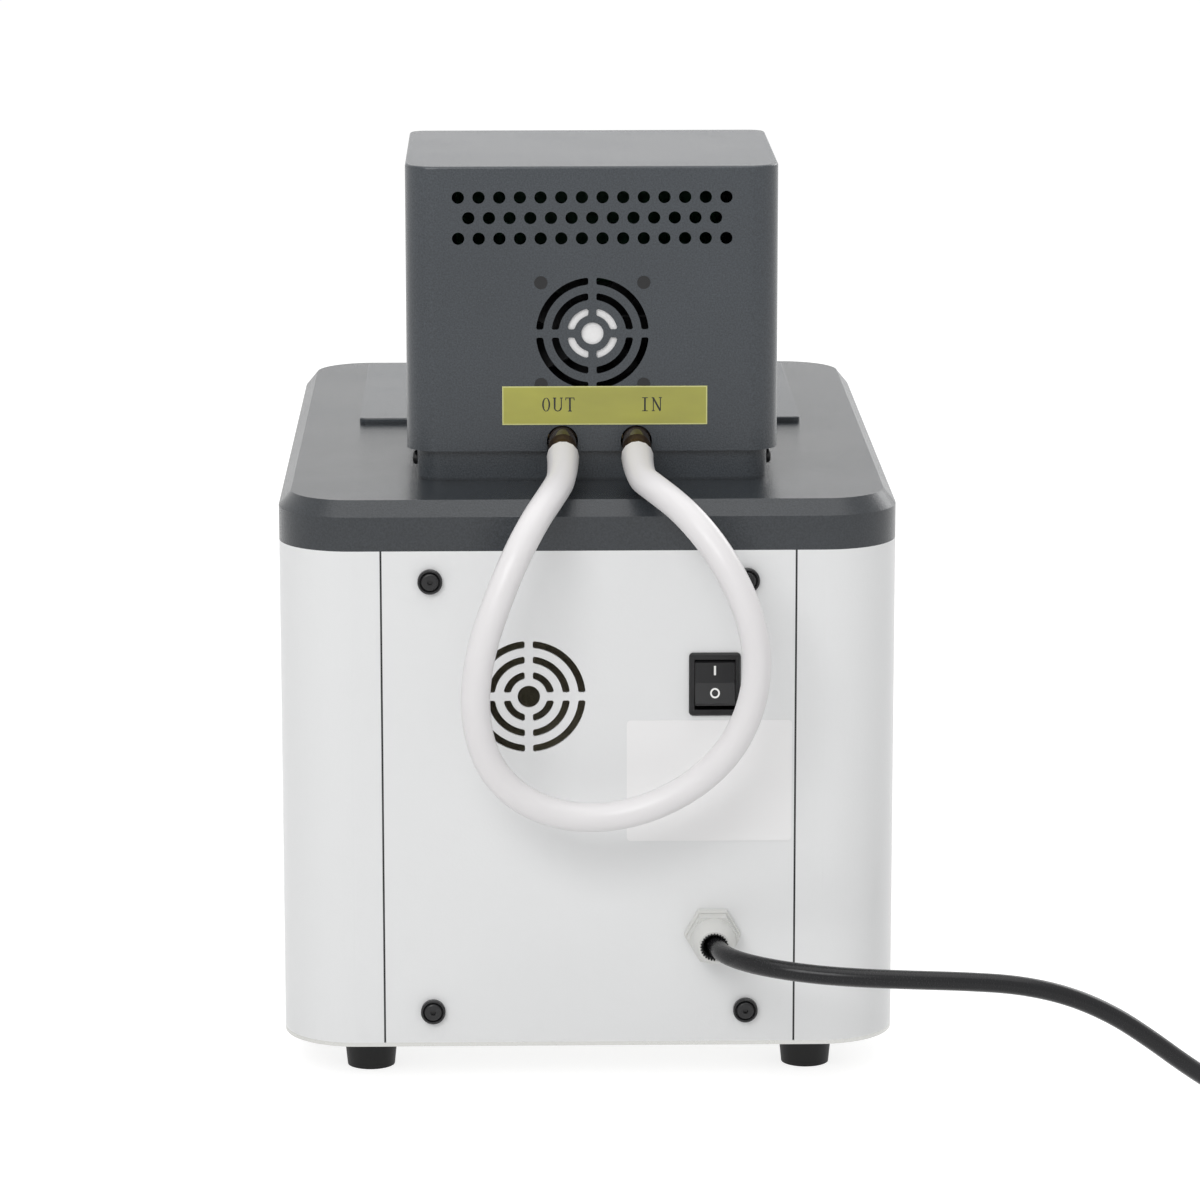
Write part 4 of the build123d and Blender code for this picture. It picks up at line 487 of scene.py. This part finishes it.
# letters with thick and thin strokes and small feet, in millimetres about their middles
thick, thin, slim, foot, tip = 0.85, 0.48, 0.46, 0.4, 0.36
glyphs = {
    "O": ring((0, 0), (1.95, 3.4), (1.15, 3.1)),
    "U": [
        bar((-1.65, 3.1), (-1.65, -1.5), thick), bar((1.6, 3.1), (1.6, -1.5), thin),
        bar((-2.45, 3.25), (-0.85, 3.25), foot), bar((0.95, 3.25), (2.25, 3.25), foot),
    ] + ring((-0.14, -1.5), (1.935, 1.9), (1.2, 1.5), start=180, end=360, pieces=16),
    "T": [
        bar((0, 3.1), (0, -3.1), thick), bar((-2.15, 3.25), (2.15, 3.25), foot),
        bar((-2.02, 3.1), (-2.1, 2.1), tip), bar((2.02, 3.1), (2.1, 2.1), tip),
        bar((-0.95, -3.25), (0.95, -3.25), foot),
    ],
    "I": [
        bar((0, 3.1), (0, -3.1), thick), bar((-1.4, 3.25), (1.4, 3.25), foot),
        bar((-1.4, -3.25), (1.4, -3.25), foot),
    ],
    "N": [
        bar((-1.7, 2.9), (-1.7, -3.1), slim), bar((1.75, 3.1), (1.75, -3.1), slim),
        bar((-1.85, 3.3), (1.7, -3.3), thick), bar((-2.45, -3.25), (-0.95, -3.25), foot),
        bar((1.0, 3.25), (2.45, 3.25), foot), bar((-2.55, 3.25), (-1.75, 3.25), foot),
    ],
}
words = {"height": 329.1, "pitch": 5.8, "OUT": -14.0, "IN": 31.3, "thickness": 0.00004}


def wordShapes(word):
    shapes = []
    for order, letter in enumerate(word):
        right = words[word] + (order - (len(word) - 1) / 2) * words["pitch"]
        shapes += moved(glyphs[letter], right, words["height"])
    return shapes


ink = mouldedPlastic("labelInk", (0.006, 0.006, 0.005), rough=0.4)
white = mouldedPlastic("markWhite", (0.80, 0.80, 0.78), rough=0.4)
for word in ("OUT", "IN"):
    piece = layOn("port_label", wordShapes(word), word.lower() + "Word", words["thickness"])
    piece.data.materials.append(ink)
    keep(piece, "housing", "port_metal")

# the rocker's bar and ring
marks = {
    "side": 60.8, "barLow": 205.8, "barHigh": 210.4, "barWidth": 1.0,
    "ringHeight": 197.3, "ringOuter": 2.35, "ringInner": 1.55, "thickness": 0.00004,
}
onShape = bar(
    (marks["side"], marks["barLow"]), (marks["side"], marks["barHigh"]), marks["barWidth"]
)
offShapes = ring(
    (marks["side"], marks["ringHeight"]), (marks["ringOuter"],) * 2, (marks["ringInner"],) * 2
)
for name, shapes in (("onMark", [onShape]), ("offMark", offShapes)):
    piece = layOn("switch_rocker", shapes, name, marks["thickness"])
    piece.data.materials.append(white)
    keep(piece, "rocker", "black_plastic")

# the front's plain marks: arrows and rings on the keys
keyMarks = {
    "height": 357.9, "thickness": 0.00003, "arrowHalf": 2.1, "arrowFoot": -1.4, "arrowTip": 1.9,
    "outer": (2.0, 2.0), "squareInner": (1.4, 1.4), "powerInner": (1.5, 1.5),
    "powerFrom": 115, "powerTo": 425, "powerLow": 0.6, "powerHigh": 2.4, "powerWidth": 0.5,
}
arrow = [
    (-keyMarks["arrowHalf"], keyMarks["arrowFoot"]), (keyMarks["arrowHalf"], keyMarks["arrowFoot"]),
    (0, keyMarks["arrowTip"]),
]
powerBar = bar((0, keyMarks["powerLow"]), (0, keyMarks["powerHigh"]), keyMarks["powerWidth"])
keyShapes = {
    "key_set": ring((0, 0), keyMarks["outer"], keyMarks["squareInner"], 45, 405, 4),
    "key_up": [arrow],
    "key_down": [[(x, -z) for x, z in arrow]],
    "key_pump": ring(
        (0, 0), keyMarks["outer"], keyMarks["powerInner"], keyMarks["powerFrom"],
        keyMarks["powerTo"], 20,
    ) + [powerBar],
}
for node, shapes in keyShapes.items():
    low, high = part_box(node)
    placed = moved(shapes, (low.x + high.x) / 2 * 1000, keyMarks["height"])
    kind = node.split("_")[1]
    piece = layOn(node, placed, kind + "Mark", keyMarks["thickness"], True)
    piece.data.materials.append(ink)
    keep(piece, kind + "_key", "key_plastic")

# the display's unlit digits, seven strokes each
digits = {
    "count": 4, "pitch": 15.5, "width": 8.5, "height": 15, "stroke": 1.5, "gap": 0.5,
    "thickness": 0.00002, "colour": (0.040, 0.036, 0.036),
}
windowLow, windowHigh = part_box("display_window")
windowX = (windowLow.x + windowHigh.x) / 2 * 1000
windowZ = (windowLow.z + windowHigh.z) / 2 * 1000
halfStroke = digits["stroke"] / 2
segments = []
for order in range(digits["count"]):
    centre = windowX + (order - (digits["count"] - 1) / 2) * digits["pitch"]
    across = digits["width"] / 2 - halfStroke - digits["gap"]
    for level in (-1, 0, 1):
        height = windowZ + level * digits["height"] / 2
        segments.append(bar((centre - across, height), (centre + across, height), digits["stroke"]))
    for side in (-1, 1):
        for half in (-1, 1):
            first = windowZ + half * (halfStroke + digits["gap"])
            last = windowZ + half * (digits["height"] / 2 - halfStroke - digits["gap"])
            place = centre + side * digits["width"] / 2
            segments.append(bar((place, first), (place, last), digits["stroke"]))
displayDigits = layOn("display_window", segments, "displayDigits", digits["thickness"], True)
displayDigits.data.materials.append(mouldedPlastic("unlitDigit", digits["colour"], rough=0.3))
keep(displayDigits, "housing", "window")
print("words and marks laid")


# The bare sticker on the fan's hub, seen through the grille
def disc(name, centre, profile, sides):
    # a round plate facing the rear, turned from its profile of reach and depth
    mesh = bmesh.new()
    rings = []
    for reach, depth in profile:
        if reach == 0:
            rings.append([mesh.verts.new((centre.x, depth, centre.z))])
            continue
        rings.append([
            mesh.verts.new((
                centre.x + reach * math.cos(2 * math.pi * side / sides), depth,
                centre.z + reach * math.sin(2 * math.pi * side / sides),
            ))
            for side in range(sides)
        ])
    for first, second in zip(rings, rings[1:]):
        for side in range(sides):
            after = (side + 1) % sides
            corners = [first[side % len(first)], first[after % len(first)],
                       second[after % len(second)], second[side % len(second)]]
            mesh.faces.new(list(dict.fromkeys(corners)))
    return closed(name, mesh)


frameLow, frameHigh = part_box("fan_frame")
hub = {"radius": 0.0128, "thickness": 0.00012, "bevel": 0.00006, "sunk": 0.0002, "sides": 64}
hubFace = frameHigh.y + hub["thickness"]
hubBack = frameHigh.y - hub["sunk"]
hubProfile = [
    (0, hubFace), (hub["radius"] - hub["bevel"], hubFace), (hub["radius"], hubFace - hub["bevel"]),
    (hub["radius"], hubBack), (0, hubBack),
]
hubSticker = disc("hubSticker", (frameLow + frameHigh) / 2, hubProfile, hub["sides"])
keep(hubSticker, "housing", "label_white")


# The seal's teeth in the gland's mouth, as a ring of small ribs
def ribTree(material, sides):
    tree = bpy.data.node_groups.new("ribRing", "GeometryNodeTree")
    face = tree.interface
    face.new_socket("Geometry", in_out="INPUT", socket_type="NodeSocketGeometry")
    face.new_socket("Ribs", in_out="INPUT", socket_type="NodeSocketInt")
    for label in ("Ring Radius", "Rib Radius", "Rib Length"):
        face.new_socket(label, in_out="INPUT", socket_type="NodeSocketFloat")
    face.new_socket("Geometry", in_out="OUTPUT", socket_type="NodeSocketGeometry")
    given = tree.nodes.new("NodeGroupInput").outputs
    circle = tree.nodes.new("GeometryNodeMeshCircle")
    rib = tree.nodes.new("GeometryNodeMeshCylinder")
    spot = tree.nodes.new("GeometryNodeInstanceOnPoints")
    real = tree.nodes.new("GeometryNodeRealizeInstances")
    coat = tree.nodes.new("GeometryNodeSetMaterial")
    result = tree.nodes.new("NodeGroupOutput")
    rib.inputs["Vertices"].default_value = sides
    coat.inputs["Material"].default_value = material
    for source, target in (
        (given["Ribs"], circle.inputs["Vertices"]),
        (given["Ring Radius"], circle.inputs["Radius"]),
        (given["Rib Radius"], rib.inputs["Radius"]),
        (given["Rib Length"], rib.inputs["Depth"]),
        (circle.outputs["Mesh"], spot.inputs["Points"]),
        (rib.outputs["Mesh"], spot.inputs["Instance"]),
        (spot.outputs["Instances"], real.inputs["Geometry"]),
        (real.outputs["Geometry"], coat.inputs["Geometry"]),
        (coat.outputs["Geometry"], result.inputs[0]),
    ):
        tree.links.new(source, target)
    return tree


def grown(name, tree, values, place):
    # the tree's result as a plain mesh, moved to its place
    seed = linked(name + "Seed", bpy.data.meshes.new(name + "Seed"))
    modifier = seed.modifiers.new("grow", "NODES")
    modifier.node_group = tree
    for item in tree.interface.items_tree:
        if item.in_out == "INPUT" and item.name in values:
            modifier[item.identifier] = values[item.name]
    bpy.context.view_layer.update()
    ready = seed.evaluated_get(bpy.context.evaluated_depsgraph_get())
    data = bpy.data.meshes.new_from_object(ready)
    seed.modifiers.remove(modifier)
    bpy.data.objects.remove(seed)
    data.transform(place)
    return linked(name, data)


capLow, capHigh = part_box("gland_cap")
teeth = {"Ribs": 28, "Ring Radius": 0.0064, "Rib Radius": 0.0005, "Rib Length": 0.0012}
toothSides = 8
toothSunk = 0.0003
mouth = Vector(((capLow.x + capHigh.x) / 2, capHigh.y - toothSunk, (capLow.z + capHigh.z) / 2))
towardsRear = Matrix.Rotation(math.radians(90), 4, "X")
sealTeeth = grown(
    "sealTeeth", ribTree(finishes["black_rubber"], toothSides), teeth,
    Matrix.Translation(mouth) @ towardsRear,
)
keep(sealTeeth, "housing", "black_rubber")
print("sticker and seal teeth made")

# Camera as in the photograph, from behind and a little above: turns in radians, lens in
# millimetres, place in millimetres as seen from behind
view = {
    "yaw": 0.018, "pitch": 0.205, "roll": -0.001, "lens": 153.13, "sensor": 36, "farthest": 50,
    "place": (-37.86, -2403.4, 742.6),
}
ahead = Vector((
    -math.sin(view["yaw"]) * math.cos(view["pitch"]),
    -math.cos(view["yaw"]) * math.cos(view["pitch"]),
    -math.sin(view["pitch"]),
))
rightHand = Vector((-math.cos(view["yaw"]), math.sin(view["yaw"]), 0))
upHand = rightHand.cross(ahead)
turnRight = rightHand * math.cos(view["roll"]) + upHand * math.sin(view["roll"])
turnUp = upHand * math.cos(view["roll"]) - rightHand * math.sin(view["roll"])
cameraData = bpy.data.cameras.new("camera")
cameraData.lens = view["lens"]
cameraData.sensor_width = view["sensor"]
cameraData.clip_end = view["farthest"]
camera = linked("camera", cameraData)
camera.matrix_world = Matrix((
    (turnRight.x, turnUp.x, -ahead.x, 0),
    (turnRight.y, turnUp.y, -ahead.y, 0),
    (turnRight.z, turnUp.z, -ahead.z, 0),
    (0, 0, 0, 1),
))
camera.matrix_world.translation = fromRear(*view["place"])
bpy.context.scene.camera = camera

# Pale floor, white world for the camera, soft lamps
stage = {
    "half": 7.0, "level": 0.0, "floor": (0.80, 0.80, 0.80), "rough": 0.9, "world": 0.56,
    "shadow": (0.42, 0.42, 0.42), "glow": 0.78,
}


def whiteToCamera(tree, own, white):
    # camera, mirror and glass rays see white, and all others the thing's own shader
    path = tree.nodes.new("ShaderNodeLightPath")
    either = path.outputs["Is Camera Ray"]
    for ray in ("Is Glossy Ray", "Is Transmission Ray"):
        larger = tree.nodes.new("ShaderNodeMath")
        larger.operation = "MAXIMUM"
        tree.links.new(either, larger.inputs[0])
        tree.links.new(path.outputs[ray], larger.inputs[1])
        either = larger.outputs[0]
    mix = tree.nodes.new("ShaderNodeMixShader")
    for source, target in zip((either, own, white), mix.inputs):
        tree.links.new(source, target)
    return mix.outputs[0]


world = bpy.data.worlds.new("studio")
bpy.context.scene.world = world
world.use_nodes = True
worldTree = world.node_tree
plain = worldTree.nodes["Background"]
plain.inputs["Color"].default_value = (1, 1, 1, 1)
plain.inputs["Strength"].default_value = stage["world"]
bright = worldTree.nodes.new("ShaderNodeBackground")
bright.inputs["Color"].default_value = (1, 1, 1, 1)
worldTree.links.new(
    whiteToCamera(worldTree, plain.outputs[0], bright.outputs[0]),
    worldTree.nodes["World Output"].inputs["Surface"],
)

floorMesh = bpy.data.meshes.new("floor")
floorCorners = [
    (stage["half"] * across, stage["half"] * along, stage["level"])
    for across, along in ((-1, -1), (1, -1), (1, 1), (-1, 1))
]
floorMesh.from_pydata(floorCorners, [], [(0, 1, 2, 3)])
floorPiece = linked("floor", floorMesh)
floorFinish = Finish("floorPaper", Base__Color=stage["floor"], Roughness=stage["rough"])
floorTree = floorFinish.tree
dim = floorTree.nodes.new("ShaderNodeBsdfDiffuse")
dim.inputs["Color"].default_value = (*stage["shadow"], 1)
glow = floorTree.nodes.new("ShaderNodeEmission")
glow.inputs["Strength"].default_value = stage["glow"]
both = floorTree.nodes.new("ShaderNodeAddShader")
floorTree.links.new(dim.outputs[0], both.inputs[0])
floorTree.links.new(glow.outputs[0], both.inputs[1])
floorTree.links.new(
    whiteToCamera(floorTree, floorFinish.shader.outputs[0], both.outputs[0]),
    floorTree.nodes["Material Output"].inputs["Surface"],
)
floorMesh.materials.append(floorFinish.material)

# places and sizes in metres, powers in watts
lamps = {
    "keyLamp": {"place": (0.9, 2.6, 1.9), "size": (1.6, 1.2), "power": 32},
    "topLamp": {"place": (0.0, 0.2, 2.4), "size": (2.4, 2.4), "power": 23},
    "fillLamp": {"place": (-1.6, -1.8, 1.4), "size": (1.6, 1.2), "power": 15},
}
lampAim = Vector((0, 0, 0.2))
for name, lamp in lamps.items():
    data = bpy.data.lights.new(name, "AREA")
    data.shape = "RECTANGLE"
    data.size, data.size_y = lamp["size"]
    data.energy = lamp["power"]
    made = linked(name, data)
    made.location = lamp["place"]
    made.rotation_euler = (lampAim - Vector(lamp["place"])).to_track_quat("-Z", "Y").to_euler()
print("studio ready")
